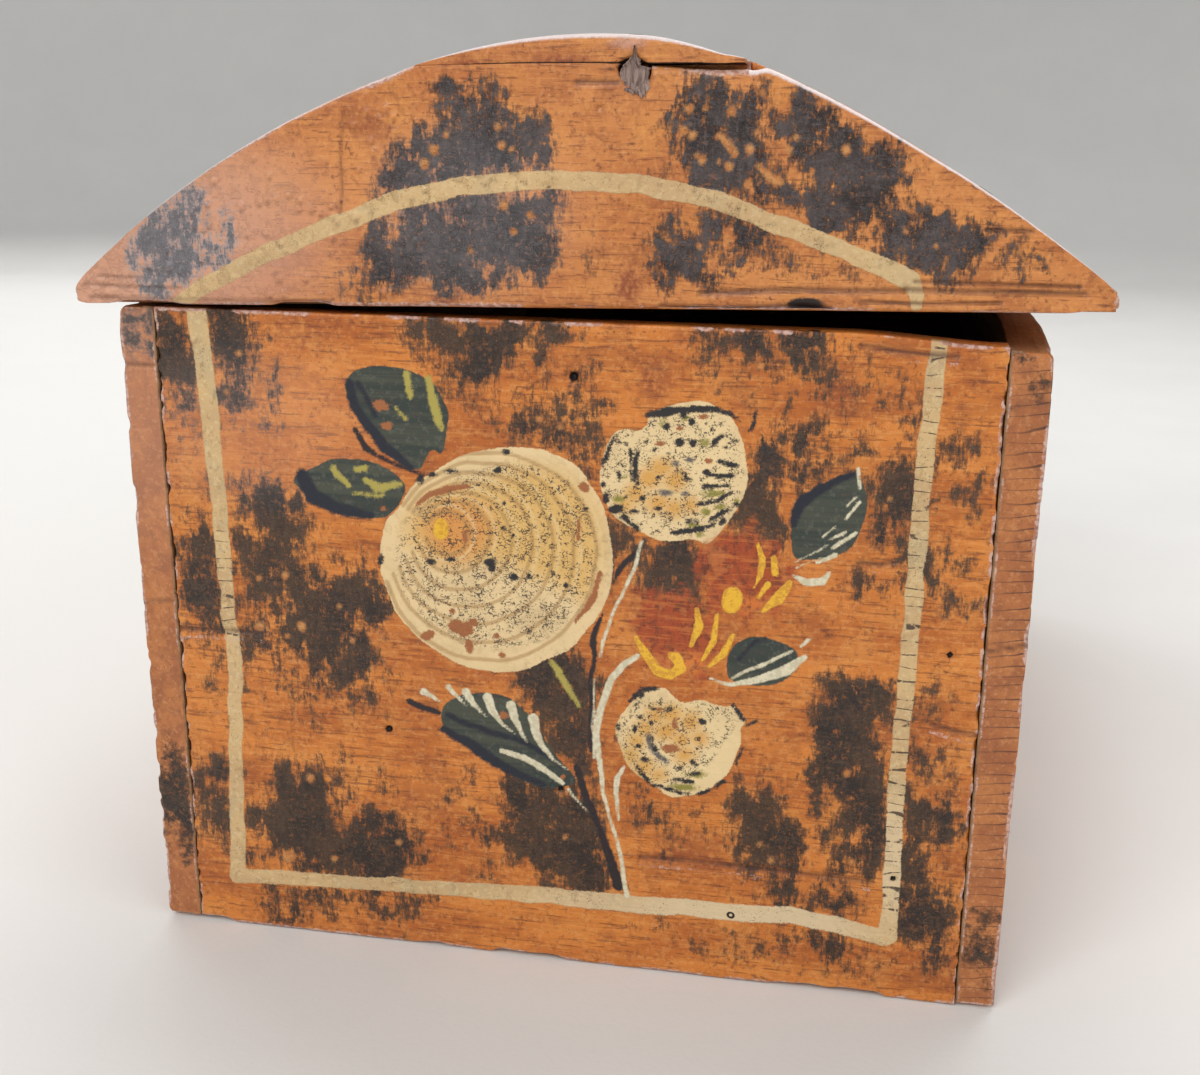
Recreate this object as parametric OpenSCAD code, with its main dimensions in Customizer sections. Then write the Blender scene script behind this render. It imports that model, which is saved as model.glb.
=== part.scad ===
// Dome-lidded wooden keepsake box.
// Millimetres. Origin at the middle of the underside, +Z up.
// The length runs along Y, the hinged back is at -X and the front at +X.
// The lid is drawn ajar, as it stands at rest.

/* [Case] */
// outside width of the case, back to front
case_w = 210; // [180:1:240]
// outside length of the case, end to end
case_l = 330; // [260:1:420]
// height of the case walls
case_h = 157.5; // [120:0.5:190]
// thickness of the wall boards
board_t = 9; // [7:0.5:12]
// thickness of the bottom board
bottom_t = 9; // [7:0.5:12]
// width of the strips along the bottom at each end
cleat_s = 10; // [8:0.5:14]
// height of those strips
cleat_h = 17; // [12:0.5:20]

/* [Lid] */
// overhang of the lid past the back wall
eave_back = 9.1; // [8:0.1:12]
// overhang of the lid past the front wall
eave_front = 11.6; // [8:0.1:16]
// overhang of the lid past each end wall
eave_end = 2; // [0.5:0.1:5]
// height of the blunt edge along the eaves
eave_h = 4; // [3:0.1:6]
// full rise of the lid above its own underside
lid_rise = 55.3; // [53:0.1:60]
// height at which the crest board meets the sloping boards
crest_z = 50.3; // [46:0.1:51.5]
// half the width of the crest board
crest_half = 35.3; // [28:0.1:42]
// distance of the crest forward of the middle of the case
crest_shift = 5.8; // [0:0.1:12]
// thickness of the crest board at its highest line
crest_t = 12; // [9:0.1:15]
// thickness of the sloping boards under the straight line from edge to edge
slope_t = 8; // [6:0.1:11]
// how far the back slope swells above that line
bulge_back = 5.5; // [2:0.1:6.5]
// how far the front slope swells above that line
bulge_front = 3.2; // [1.5:0.1:5]
// height of the rails along the eaves
rail_h = 14; // [10:0.5:18]
// thickness of the lid end boards
lid_end_t = 12; // [10:0.5:15]
// thickness of the lip that covers the ends of the lid boards
lip_t = 5; // [4:0.1:7]
// gap left under the shut lid
seat_gap = 0.4; // [0.2:0.05:0.6]
// angle by which the lid stands open at rest
lid_ajar = 1.4; // [0.5:0.1:4]
// angle by which the split-off piece of the near crest has sprung up
sliver_lift = 0.8; // [0.2:0.1:2]

/* [Hinges] */
// distance from the middle of each hinge to the nearer end of the case
hinge_inset = 73; // [40:1:100]
// width of a hinge along the box
hinge_w = 46; // [36:0.5:56]
// thickness of the hinge leaves
leaf_t = 1.2; // [0.8:0.1:1.6]
// height of the leaf on the back wall
case_leaf_h = 26; // [20:0.5:34]
// reach of the leaf under the lid from the hinge line
lid_leaf_d = 19; // [16:0.5:24]
// outside radius of the hinge knuckles
knuckle_r = 2.8; // [2.3:0.05:2.9]
// radius of the hinge pins
pin_r = 1.3; // [1:0.05:1.6]
// running clearance between a lid knuckle and its pin
pin_clear = 0.05; // [0.02:0.01:0.1]
// gap between the knuckles along the pin
knuckle_gap = 0.4; // [0.3:0.05:0.8]
// gap between a turning knuckle and the wood behind it
knuckle_back = 0.4; // [0.3:0.05:0.8]
// gap between a turning knuckle and the iron or wood over or under it
knuckle_free = 0.5; // [0.3:0.05:0.8]
// reach of the lug that stops the open lid, from the hinge line
lug_r = 5; // [4.6:0.05:5.2]
// thickness of that lug
lug_t = 1.4; // [1:0.1:1.8]

/* [Nails and screws] */
// radius of a nail shank
nail_r = 0.9; // [0.7:0.05:1.2]
// radius of a nail head
nail_head_r = 1.7; // [1.4:0.1:2.4]
// height of a nail head
nail_head_h = 0.7; // [0.5:0.1:1]
// how far a nail head stands out of the wood
nail_proud = 0.1; // [0.05:0.05:0.4]
// length of the nails in the walls
nail_l = 24; // [18:0.5:30]
// length of the nails through the end walls into the bottom strips
cleat_nail_l = 16; // [13:0.5:18]
// spacing of those nails across the end
cleat_nail_gap = 42; // [30:1:60]
// length of the nails in the lid boards
lid_nail_l = 20; // [17:0.5:24]
// length of the pin through the split-off piece of the near crest
sliver_nail_l = 18; // [14:0.5:24]
// distance of that pin forward of the crest line
sliver_nail_x = 12; // [4:0.5:18]
// radius of a screw shank
screw_r = 1.1; // [0.8:0.05:1.3]
// radius of a screw head
screw_head_r = 2.3; // [1.8:0.1:2.7]
// length of the hinge screws
screw_l = 8; // [6:0.5:9]
// width of the slot in a screw head
slot_w = 0.6; // [0.4:0.1:0.8]
// depth of the slot in a screw head
slot_d = 0.5; // [0.3:0.1:0.7]

/* [Hidden] */
$fn = 48;
// a little extra so that a cut runs clear of the face it cuts
over = 1;

half_w = case_w / 2;
half_l = case_l / 2;
hinge_y = half_l - hinge_inset;
in_w = case_w - 2 * board_t;
in_l = case_l - 2 * board_t;

lid_l = case_l + 2 * eave_end;
lid_y = lid_l / 2;
lid_base = case_h + seat_gap;
tip_back = -half_w - eave_back;
tip_front = half_w + eave_front;
crest_back = crest_shift - crest_half;
crest_front = crest_shift + crest_half;
crest_under = lid_rise - crest_t;
plank_y = lid_y - lip_t;
core_t = lid_end_t - lip_t;
nail_y = plank_y - core_t / 2;

// each slope runs from its upper point to its lower point
up_b = [crest_back, crest_z];
low_b = [tip_back, eave_h];
up_f = [crest_front, crest_z];
low_f = [tip_front, eave_h];
function along(a, b) = (b - a) / norm(b - a);
function arc_r(c, s) = (c * c / 4 + s * s) / (2 * s);
run_b = along(up_b, low_b);
run_f = along(up_f, low_f);
// direction from each slope into the hollow of the lid
into_b = [-run_b[1], run_b[0]];
into_f = [run_f[1], -run_f[0]];
span_b = norm(low_b - up_b);
span_f = norm(low_f - up_f);
radius_b = arc_r(span_b, bulge_back);
radius_f = arc_r(span_f, bulge_front);
centre_b = (up_b + low_b) / 2 + into_b * (radius_b - bulge_back);
centre_f = (up_f + low_f) / 2 + into_f * (radius_f - bulge_front);
crest_bulge = lid_rise - crest_z;
crest_r = arc_r(2 * crest_half, crest_bulge);
crest_c = [crest_shift, lid_rise - crest_r];

// the flat inner face of a slope, as a height at x or a place at z
function inner_z(p, run, into, x) =
    (p + into * slope_t)[1] + (x - (p + into * slope_t)[0]) * run[1] / run[0];
function inner_x(p, run, into, z) =
    (p + into * slope_t)[0] + (z - (p + into * slope_t)[1]) * run[0] / run[1];
inner_b = inner_z(up_b, run_b, into_b, crest_back);
inner_f = inner_z(up_f, run_f, into_f, crest_front);
rail_b = inner_x(up_b, run_b, into_b, rail_h);
rail_f = inner_x(up_f, run_f, into_f, rail_h);

// the hinge line
axis_x = -half_w - knuckle_r - knuckle_back;
axis_z = lid_base - knuckle_r - knuckle_free;
axis_low = axis_z - lid_base;
knuckle_l = (hinge_w - 2 * knuckle_gap) / 3;
knuckle_step = knuckle_l + knuckle_gap;
leaf_top = axis_z - knuckle_r - knuckle_free;
// share of the lid leaf's reach at which its screws stand
lid_screw_share = 0.65;

// spread of the nails up the corners and along the bottom edges
corner_nails = 4;
edge_nails = 4;
corner_first = bottom_t + cleat_s;
// the top nail stands half as far from the rim as the lowest from the floor
corner_last = case_h - corner_first / 2;
corner_step = (corner_last - corner_first) / (corner_nails - 1);
edge_step = in_l / edge_nails;

// a nail driven into a face at z = 0, its head let into the wood
module nail(len) {
    translate([0, 0, nail_proud - nail_head_h])
        cylinder(h = nail_head_h, r = nail_head_r);
    translate([0, 0, -len])
        cylinder(h = len + nail_proud - nail_head_h / 2, r = nail_r);
}

module screw_body(len) {
    translate([0, 0, -leaf_t])
        cylinder(h = leaf_t, r1 = screw_r, r2 = screw_head_r);
    translate([0, 0, -len])
        cylinder(h = len, r = screw_r);
}

module screw(len) {
    difference() {
        screw_body(len);
        translate([-screw_head_r - over, -slot_w / 2, -slot_d])
            cube([2 * screw_head_r + 2 * over, slot_w, slot_d + over]);
    }
}

module rod_y(r, y0, y1) {
    translate([0, y1, 0])
        rotate([90, 0, 0])
            cylinder(h = y1 - y0, r = r);
}

// nails of one long wall, drawn for the front
module wall_nails() {
    for (sy = [-1, 1])
        for (i = [0 : corner_nails - 1])
            translate([half_w, sy * (half_l - board_t / 2), corner_first + i * corner_step])
                rotate([0, 90, 0])
                    nail(nail_l);
    for (i = [0 : edge_nails - 1])
        translate([half_w, (i - (edge_nails - 1) / 2) * edge_step, bottom_t / 2])
            rotate([0, 90, 0])
                nail(nail_l);
}

// nails of one end wall, drawn for the near end
module cleat_nails() {
    for (i = [-1 : 1])
        translate([i * cleat_nail_gap, -half_l, bottom_t + cleat_h / 2])
            rotate([90, 0, 0])
                nail(cleat_nail_l);
}

module long_wall() {
    difference() {
        translate([half_w - board_t, -half_l, 0])
            cube([board_t, case_l, case_h]);
        wall_nails();
    }
}

module end_wall() {
    difference() {
        translate([-in_w / 2, -half_l, 0])
            cube([in_w, board_t, case_h]);
        wall_nails();
        mirror([1, 0, 0])
            wall_nails();
        cleat_nails();
    }
}

module cleat() {
    difference() {
        translate([-in_w / 2, -half_l + board_t, bottom_t])
            cube([in_w, cleat_s, cleat_h]);
        cleat_nails();
    }
}

module front_board() {
    color([0.72, 0.43, 0.2])
        long_wall();
}

module back_board() {
    color([0.72, 0.43, 0.2])
        difference() {
            mirror([1, 0, 0])
                long_wall();
            case_screw_bodies();
        }
}

module end_board_near() {
    color([0.78, 0.46, 0.2])
        end_wall();
}

module end_board_far() {
    color([0.78, 0.46, 0.2])
        mirror([0, 1, 0])
            end_wall();
}

module bottom_board() {
    color([0.62, 0.42, 0.26])
        difference() {
            translate([-in_w / 2, -in_l / 2, 0])
                cube([in_w, in_l, bottom_t]);
            wall_nails();
            mirror([1, 0, 0])
                wall_nails();
        }
}

module cleat_near() {
    color([0.62, 0.42, 0.26])
        cleat();
}

module cleat_far() {
    color([0.62, 0.42, 0.26])
        mirror([0, 1, 0])
            cleat();
}

module front_nails() {
    color([0.25, 0.22, 0.2])
        wall_nails();
}

module back_nails() {
    color([0.25, 0.22, 0.2])
        mirror([1, 0, 0])
            wall_nails();
}

module end_nails() {
    color([0.25, 0.22, 0.2]) {
        cleat_nails();
        mirror([0, 1, 0])
            cleat_nails();
    }
}

// the lid is drawn on its own base and then set on the hinge line, ajar
module lid_pose() {
    translate([axis_x, 0, axis_z])
        rotate([0, -lid_ajar, 0])
            translate([-axis_x, 0, -axis_low])
                children();
}

module slab(x0, x1, y0, y1, z0, z1) {
    translate([x0, y0, z0])
        cube([x1 - x0, y1 - y0, z1 - z0]);
}

// a solid along Y whose outline is drawn in x and z
module prism(pts, y0, y1) {
    translate([0, y1, 0])
        rotate([90, 0, 0])
            linear_extrude(height = y1 - y0)
                polygon(pts);
}

module crest_dome(y0, y1) {
    intersection() {
        translate([crest_c[0], 0, crest_c[1]])
            rod_y(crest_r, y0, y1);
        slab(crest_back, crest_front, y0, y1, crest_under, lid_rise + over);
    }
}

module crest_segment(y0, y1) {
    intersection() {
        translate([crest_c[0], 0, crest_c[1]])
            rod_y(crest_r, y0, y1);
        slab(crest_back, crest_front, y0, y1, crest_z, lid_rise + over);
    }
}

module lid_body(y0, y1) {
    intersection() {
        translate([centre_b[0], 0, centre_b[1]])
            rod_y(radius_b, y0, y1);
        translate([centre_f[0], 0, centre_f[1]])
            rod_y(radius_f, y0, y1);
        slab(tip_back, tip_front, y0, y1, 0, crest_z);
    }
}

// outline of the hollow of the lid
hollow = [
    [rail_b, 0],
    [rail_f, 0],
    [rail_f, rail_h],
    [crest_front, inner_f],
    [crest_front, crest_under],
    [crest_back, crest_under],
    [crest_back, inner_b],
    [rail_b, rail_h]
];

// nails through the crest board and the slopes into both lid ends, square to the face
module crest_nail_set() {
    for (sy = [-1, 1])
        for (sx = [-1, 1])
            translate([crest_shift + sx * crest_half / 2, sy * nail_y, crest_nail_z])
                rotate([0, sx * crest_nail_turn, 0])
                    nail(lid_nail_l);
}
crest_nail_turn = asin(crest_half / 2 / crest_r);
crest_nail_z = crest_c[1] + crest_r * cos(crest_nail_turn);

// places of the nails down a slope, as shares of its length
slope_nails_at = [0.22, 0.62];
// direction from the centre of a slope's curve to that share of its length
function outward(p, run, span, centre, radius, f) =
    let (level = (p + run * span * f - centre) * run)
    run * level + [-run[1], run[0]] * sign(run[0]) * sqrt(radius * radius - level * level);

module slope_nail_set(p, run, span, centre, radius) {
    for (sy = [-1, 1])
        for (f = slope_nails_at)
            translate([centre[0], sy * nail_y, centre[1]])
                rotate([0, atan2(
                    outward(p, run, span, centre, radius, f)[0],
                    outward(p, run, span, centre, radius, f)[1]
                ), 0])
                    translate([0, 0, radius])
                        nail(lid_nail_l);
}

module back_slope_nails() {
    slope_nail_set(up_b, run_b, span_b, centre_b, radius_b);
}

module front_slope_nails() {
    slope_nail_set(up_f, run_f, span_f, centre_f, radius_f);
}

// the split-off piece turns up about the back end of the crest
module sprung() {
    translate([crest_back, 0, crest_z])
        rotate([0, -sliver_lift, 0])
            translate([-crest_back, 0, -crest_z])
                children();
}

sliver_nail_turn = asin(sliver_nail_x / crest_r);
module sliver_pin() {
    sprung()
        translate([crest_c[0], -lid_y + lip_t / 2, crest_c[1]])
            rotate([0, sliver_nail_turn, 0])
                translate([0, 0, crest_r])
                    nail(sliver_nail_l);
}

module all_lid_nails() {
    crest_nail_set();
    back_slope_nails();
    front_slope_nails();
}

// one lid end, drawn for the near end
module lid_end() {
    difference() {
        union() {
            lid_body(-lid_y, -plank_y);
            prism(hollow, -plank_y, -plank_y + core_t);
        }
        all_lid_nails();
    }
}

module lid_end_near() {
    color([0.78, 0.46, 0.2])
        lid_pose()
            difference() {
                lid_end();
                sliver_pin();
            }
}

module lid_end_far() {
    color([0.78, 0.46, 0.2])
        lid_pose() {
            mirror([0, 1, 0])
                lid_end();
            crest_segment(plank_y, lid_y);
        }
}

module crest_sliver() {
    color([0.75, 0.45, 0.2])
        lid_pose()
            difference() {
                sprung()
                    crest_segment(-lid_y, -plank_y);
                sliver_pin();
            }
}

module sliver_nail() {
    color([0.25, 0.22, 0.2])
        lid_pose()
            sliver_pin();
}

module crest_board() {
    color([0.72, 0.43, 0.2])
        lid_pose()
            difference() {
                crest_dome(-plank_y, plank_y);
                crest_nail_set();
            }
}

module front_slope() {
    color([0.72, 0.43, 0.2])
        lid_pose()
            difference() {
                intersection() {
                    lid_body(-plank_y, plank_y);
                    prism([
                        [crest_front, crest_z],
                        [crest_front, inner_f],
                        [rail_f, rail_h],
                        [tip_front, rail_h],
                        [tip_front, crest_z]
                    ], -plank_y, plank_y);
                }
                front_slope_nails();
            }
}

module back_slope() {
    color([0.72, 0.43, 0.2])
        lid_pose()
            difference() {
                intersection() {
                    lid_body(-plank_y, plank_y);
                    prism([
                        [crest_back, crest_z],
                        [crest_back, inner_b],
                        [rail_b, rail_h],
                        [tip_back, rail_h],
                        [tip_back, crest_z]
                    ], -plank_y, plank_y);
                }
                back_slope_nails();
            }
}

module front_rail() {
    color([0.72, 0.43, 0.2])
        lid_pose()
            difference() {
                intersection() {
                    lid_body(-plank_y, plank_y);
                    slab(rail_f, tip_front, -plank_y, plank_y, 0, rail_h);
                }
                front_slope_nails();
            }
}

module back_rail() {
    color([0.72, 0.43, 0.2])
        lid_pose()
            difference() {
                intersection() {
                    lid_body(-plank_y, plank_y);
                    slab(tip_back, rail_b, -plank_y, plank_y, 0, rail_h);
                }
                for (sy = [-1, 1])
                    translate([0, sy * hinge_y, 0])
                        lid_plate();
                lid_screw_bodies();
                back_slope_nails();
            }
}

module crest_nails() {
    color([0.25, 0.22, 0.2])
        lid_pose()
            crest_nail_set();
}

module slope_nails() {
    color([0.25, 0.22, 0.2])
        lid_pose() {
            back_slope_nails();
            front_slope_nails();
        }
}

// screws of the hinge leaves
module at_case_screws() {
    for (sy = [-1, 1])
        for (i = [-1, 1])
            for (j = [0, 1])
                translate([
                    -half_w - leaf_t,
                    sy * hinge_y + i * hinge_w / 3,
                    leaf_top - case_leaf_h / 4 - j * case_leaf_h / 2
                ])
                    rotate([0, -90, 0])
                        children();
}

module case_screw_bodies() {
    at_case_screws()
        screw_body(screw_l);
}

module at_lid_screws() {
    for (sy = [-1, 1])
        for (i = [-1 : 1])
            translate([axis_x + lid_leaf_d * lid_screw_share, sy * hinge_y + i * hinge_w / 3, 0])
                rotate([180, 0, 0])
                    children();
}

module lid_screw_bodies() {
    at_lid_screws()
        screw_body(screw_l);
}

// leaf on the back wall, with the two outer knuckles
module case_leaf() {
    difference() {
        union() {
            slab(-half_w - leaf_t, -half_w, -hinge_w / 2, hinge_w / 2, leaf_top - case_leaf_h, leaf_top);
            for (i = [-1, 1])
                translate([0, i * knuckle_step - knuckle_l / 2, 0]) {
                    translate([axis_x, 0, axis_z])
                        rod_y(knuckle_r, 0, knuckle_l);
                    slab(axis_x, -half_w, 0, knuckle_l, axis_z - knuckle_r, axis_z);
                    slab(-half_w - leaf_t, -half_w, 0, knuckle_l, leaf_top - over, axis_z);
                }
        }
        translate([axis_x, 0, axis_z])
            rod_y(pin_r, -hinge_w, hinge_w);
    }
}

module case_leaf_at(y) {
    color([0.3, 0.27, 0.25])
        difference() {
            translate([0, y, 0])
                case_leaf();
            case_screw_bodies();
        }
}

module case_leaf_near() {
    case_leaf_at(-hinge_y);
}

module case_leaf_far() {
    case_leaf_at(hinge_y);
}

module lid_plate() {
    slab(axis_x - knuckle_r, axis_x + lid_leaf_d, -hinge_w / 2, hinge_w / 2, 0, leaf_t);
}

// leaf under the lid, with the middle knuckle and its stop lug
module lid_leaf() {
    difference() {
        union() {
            lid_plate();
            translate([axis_x, 0, axis_low])
                rod_y(knuckle_r, -knuckle_l / 2, knuckle_l / 2);
            slab(axis_x - knuckle_r, axis_x, -knuckle_l / 2, knuckle_l / 2, axis_low, leaf_t / 2);
            slab(axis_x - lug_r, axis_x, -knuckle_l / 2, knuckle_l / 2, axis_low, axis_low + lug_t);
        }
        translate([axis_x, 0, axis_low])
            rod_y(pin_r + pin_clear, -hinge_w, hinge_w);
    }
}

module lid_leaf_at(y) {
    color([0.3, 0.27, 0.25])
        lid_pose()
            difference() {
                translate([0, y, 0])
                    lid_leaf();
                lid_screw_bodies();
            }
}

module lid_leaf_near() {
    lid_leaf_at(-hinge_y);
}

module lid_leaf_far() {
    lid_leaf_at(hinge_y);
}

module hinge_pin_at(y) {
    color([0.35, 0.33, 0.3])
        translate([axis_x, y, axis_z])
            rod_y(pin_r, -hinge_w / 2, hinge_w / 2);
}

module hinge_pin_near() {
    hinge_pin_at(-hinge_y);
}

module hinge_pin_far() {
    hinge_pin_at(hinge_y);
}

module case_screws() {
    color([0.35, 0.32, 0.28])
        at_case_screws()
            screw(screw_l);
}

module lid_screws() {
    color([0.35, 0.32, 0.28])
        lid_pose()
            at_lid_screws()
                screw(screw_l);
}

end_board_near();
end_board_far();
front_board();
back_board();
bottom_board();
cleat_near();
cleat_far();
front_nails();
back_nails();
end_nails();
lid_end_near();
lid_end_far();
crest_sliver();
sliver_nail();
crest_board();
front_slope();
back_slope();
front_rail();
back_rail();
crest_nails();
slope_nails();
case_leaf_near();
case_leaf_far();
lid_leaf_near();
lid_leaf_far();
hinge_pin_near();
hinge_pin_far();
case_screws();
lid_screws();
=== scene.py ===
"""Looks of the dome-lidded painted keepsake box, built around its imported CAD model.

Lengths in the code are millimetres in the frame of the CAD model, and become metres when a mesh is made.
The painting on the near end is laid out in the pixels of the photograph's frame (1200 by 1075), through the camera.
"""
import math

import bmesh
import bpy
import numpy as np
from mathutils import Matrix


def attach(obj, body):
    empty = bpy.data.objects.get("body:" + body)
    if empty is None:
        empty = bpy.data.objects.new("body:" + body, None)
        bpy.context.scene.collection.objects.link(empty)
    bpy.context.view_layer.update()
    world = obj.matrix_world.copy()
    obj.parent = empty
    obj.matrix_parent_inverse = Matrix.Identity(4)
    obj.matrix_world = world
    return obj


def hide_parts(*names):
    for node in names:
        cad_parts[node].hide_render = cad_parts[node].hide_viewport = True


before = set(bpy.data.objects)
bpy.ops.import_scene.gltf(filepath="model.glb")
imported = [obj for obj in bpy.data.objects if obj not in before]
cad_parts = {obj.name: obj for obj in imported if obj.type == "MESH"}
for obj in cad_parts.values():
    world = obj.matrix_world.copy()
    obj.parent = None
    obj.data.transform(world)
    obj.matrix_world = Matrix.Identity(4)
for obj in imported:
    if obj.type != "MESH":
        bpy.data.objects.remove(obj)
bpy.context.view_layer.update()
MM = 0.001

# ---------------------------------------------------------------- camera
PHOTO_W = 1200
FOCAL_PX = 1350.837
CENTRE_PX = (660.0, 537.5)
EYE = np.array((72.075, -453.338, 190.0))
RIGHT = np.array((0.98487333, 0.17234730, 0.01791486))
DOWN = np.array((0.06237309, -0.25616047, -0.96461983))
FORWARD = np.array((-0.16166054, 0.95114574, -0.26303545))


def to_photo(p):
    """Pixel of the photograph's frame for points in millimetres."""
    d = p - EYE
    depth = d @ FORWARD
    return CENTRE_PX[0] + FOCAL_PX * (d @ RIGHT) / depth, CENTRE_PX[1] + FOCAL_PX * (d @ DOWN) / depth


def from_photo(u, v, y):
    """Point in millimetres at a pixel of the photograph's frame, on the plane across the box at y."""
    ray = FORWARD + np.outer((u - CENTRE_PX[0]) / FOCAL_PX, RIGHT) + np.outer((v - CENTRE_PX[1]) / FOCAL_PX, DOWN)
    return EYE + ray * ((y - EYE[1]) / ray[:, 1])[:, None]


cam_data = bpy.data.cameras.new("camera")
cam_data.sensor_fit = "HORIZONTAL"
cam_data.sensor_width = 36.0
cam_data.lens = 36.0 * FOCAL_PX / PHOTO_W
cam_data.shift_x = (PHOTO_W / 2 - CENTRE_PX[0]) / PHOTO_W
cam_data.clip_start = 0.01
camera = bpy.data.objects.new("camera", cam_data)
bpy.context.scene.collection.objects.link(camera)
axes = np.column_stack((RIGHT, -DOWN, -FORWARD))
camera.matrix_world = Matrix([list(axes[i]) + [EYE[i] * MM] for i in range(3)] + [[0, 0, 0, 1]])
bpy.context.scene.camera = camera


# ---------------------------------------------------------------- noise in code
def cell_value(i, j, k, seed):
    """A fixed number from 0 to 1 for each cell of a grid."""
    h = (i * 73856093) ^ (j * 19349663) ^ (k * 83492791) ^ (seed * 2654435761)
    h = (h ^ (h >> 13)) * 1274126177
    h = h ^ (h >> 16)
    return (h & 0xFFFF) / 65535.0


def noise(p, cell, seed):
    """Smooth noise from 0 to 1 with features of about one cell, which may differ by axis."""
    q = p / np.asarray(cell, float)
    i = np.floor(q).astype(np.int64)
    f = q - i
    f = f * f * (3 - 2 * f)
    out = np.zeros(len(p))
    for corner in range(8):
        step = np.array((corner & 1, corner >> 1 & 1, corner >> 2 & 1))
        w = np.prod(np.where(step, f, 1 - f), axis=1)
        c = i + step
        out += w * cell_value(c[:, 0], c[:, 1], c[:, 2], seed)
    return out


def rough(p, cell, seed, octaves=3):
    """Noise with finer and finer detail, from 0 to 1."""
    out, gain, total = np.zeros(len(p)), 1.0, 0.0
    for k in range(octaves):
        out += gain * noise(p, np.asarray(cell, float) / 2 ** k, seed + 17 * k)
        total += gain
        gain *= 0.5
    return out / total


def ease(x, lo, hi):
    """A smooth step from 0 at lo to 1 at hi."""
    t = np.clip((x - lo) / (hi - lo), 0, 1)
    return t * t * (3 - 2 * t)


def rough_along(axis, values, cell, seed, octaves=3):
    """Rough noise that changes along one axis only."""
    p, cells = np.zeros((len(values), 3)), np.ones(3)
    p[:, axis], cells[axis] = values, cell
    return rough(p, cells, seed, octaves)


# ---------------------------------------------------------------- meshes
# grid lines next to an edge, and where the even ones start, in millimetres from that edge
EDGE_LINES = np.array((0, 0.3, 0.7, 1.2))
EVEN_START = 1.8


def lines(length, step):
    """Grid lines along one side of a board, closer together at both ends."""
    count = max(2, round((length - 2 * EVEN_START) / step))
    middle = np.linspace(EVEN_START, length - EVEN_START, count + 1)
    return np.concatenate((EDGE_LINES, middle, length - EDGE_LINES[::-1]))


def grid_quads(g):
    """Quads between the points of a grid of indices."""
    return np.stack((g[:-1, :-1], g[1:, :-1], g[1:, 1:], g[:-1, 1:]), -1).reshape(-1, 4)


def block(a, b, c, open_back):
    """Surface of a gridded block. With open_back its face at the last c is one flat polygon."""
    on = np.zeros((len(a), len(b), len(c)), bool)
    for axis in range(3):
        side = np.moveaxis(on, axis, 0)
        side[0] = side[-1] = True
    if open_back:
        on[1:-1, 1:-1, -1] = False
    index = np.full(on.shape, -1)
    index[on] = np.arange(on.sum())
    co = np.stack(np.meshgrid(a, b, c, indexing="ij"), -1)[on]
    quads = []
    for axis in range(3):
        side = np.moveaxis(index, axis, 0)
        for end in (0, -1):
            if axis == 2 and end == -1 and open_back:
                continue
            quads.append(grid_quads(side[end]))
    loops = []
    if open_back:
        g = index[:, :, -1]
        loops = [np.concatenate((g[:-1, 0], g[-1, :-1], g[:0:-1, -1], g[0, :0:-1])).tolist()]
    return co, np.concatenate(quads).tolist() + loops


def rounded(co, size, r):
    """The block with its edges rounded; r may differ from point to point."""
    r = np.broadcast_to(r, len(co))[:, None]
    core = np.clip(co, r, np.asarray(size) - r)
    d = co - core
    n = np.maximum(np.linalg.norm(d, axis=1, keepdims=True), 1e-9)
    return core + d * np.minimum(1.0, r / n)


def piece(name, co, faces, material, body, nodes, layers=None):
    """Makes a mesh piece from points in millimetres, with its paint layers as point attributes."""
    mesh = bpy.data.meshes.new(name)
    mesh.from_pydata((co * MM).tolist(), [], faces)
    bm = bmesh.new()
    bm.from_mesh(mesh)
    bmesh.ops.recalc_face_normals(bm, faces=bm.faces)
    for f in bm.faces:
        f.smooth = len(f.verts) == 4
    bm.to_mesh(mesh)
    bm.free()
    for key, values in (layers or {}).items():
        mesh.attributes.new(key, "FLOAT", "POINT").data.foreach_set("value", np.asarray(values, np.float32))
    mesh.materials.append(material)
    obj = bpy.data.objects.new(name, mesh)
    bpy.context.scene.collection.objects.link(obj)
    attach(obj, body)
    if nodes:
        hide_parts(*nodes)
    return obj


# ---------------------------------------------------------------- painting
# in pixels: half the width of a crisp layer's edge, and how far outside its outline each kind of layer is worked out
EDGE_PX, CRISP_REACH, CLOUD_REACH, SMOKE_REACH = 6.0, 20, 30, 46
# place of the points that no brush reaches
OFF_PICTURE = -9999


def crisp(depth):
    """Value of a crisp layer at a depth inside its outline."""
    return np.clip(0.5 + depth / (2 * EDGE_PX), 0, 1)


def smooth_loop(pts, rounds=2):
    """A closed outline with its corners cut off, round by round."""
    p = np.array(pts, float)
    for _ in range(rounds):
        q = np.roll(p, -1, axis=0)
        p = np.stack((0.75 * p + 0.25 * q, 0.25 * p + 0.75 * q), 1).reshape(-1, 2)
    return p


def off_line(u, v, a, b):
    """For each pixel, how far along the line from a to b it is, as a share, and its distance from that line."""
    du, dv = b[0] - a[0], b[1] - a[1]
    t = np.clip(((u - a[0]) * du + (v - a[1]) * dv) / max(du * du + dv * dv, 1e-6), 0, 1)
    return t, np.hypot(u - a[0] - t * du, v - a[1] - t * dv)


def stroke_depth(u, v, pts):
    """Depth of each pixel inside a stroke through points (u, v, half width); negative outside."""
    best = np.full(len(u), -1e3)
    for a, b in zip(pts, pts[1:]):
        t, away = off_line(u, v, a, b)
        best = np.maximum(best, a[2] + (b[2] - a[2]) * t - away)
    return best


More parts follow.
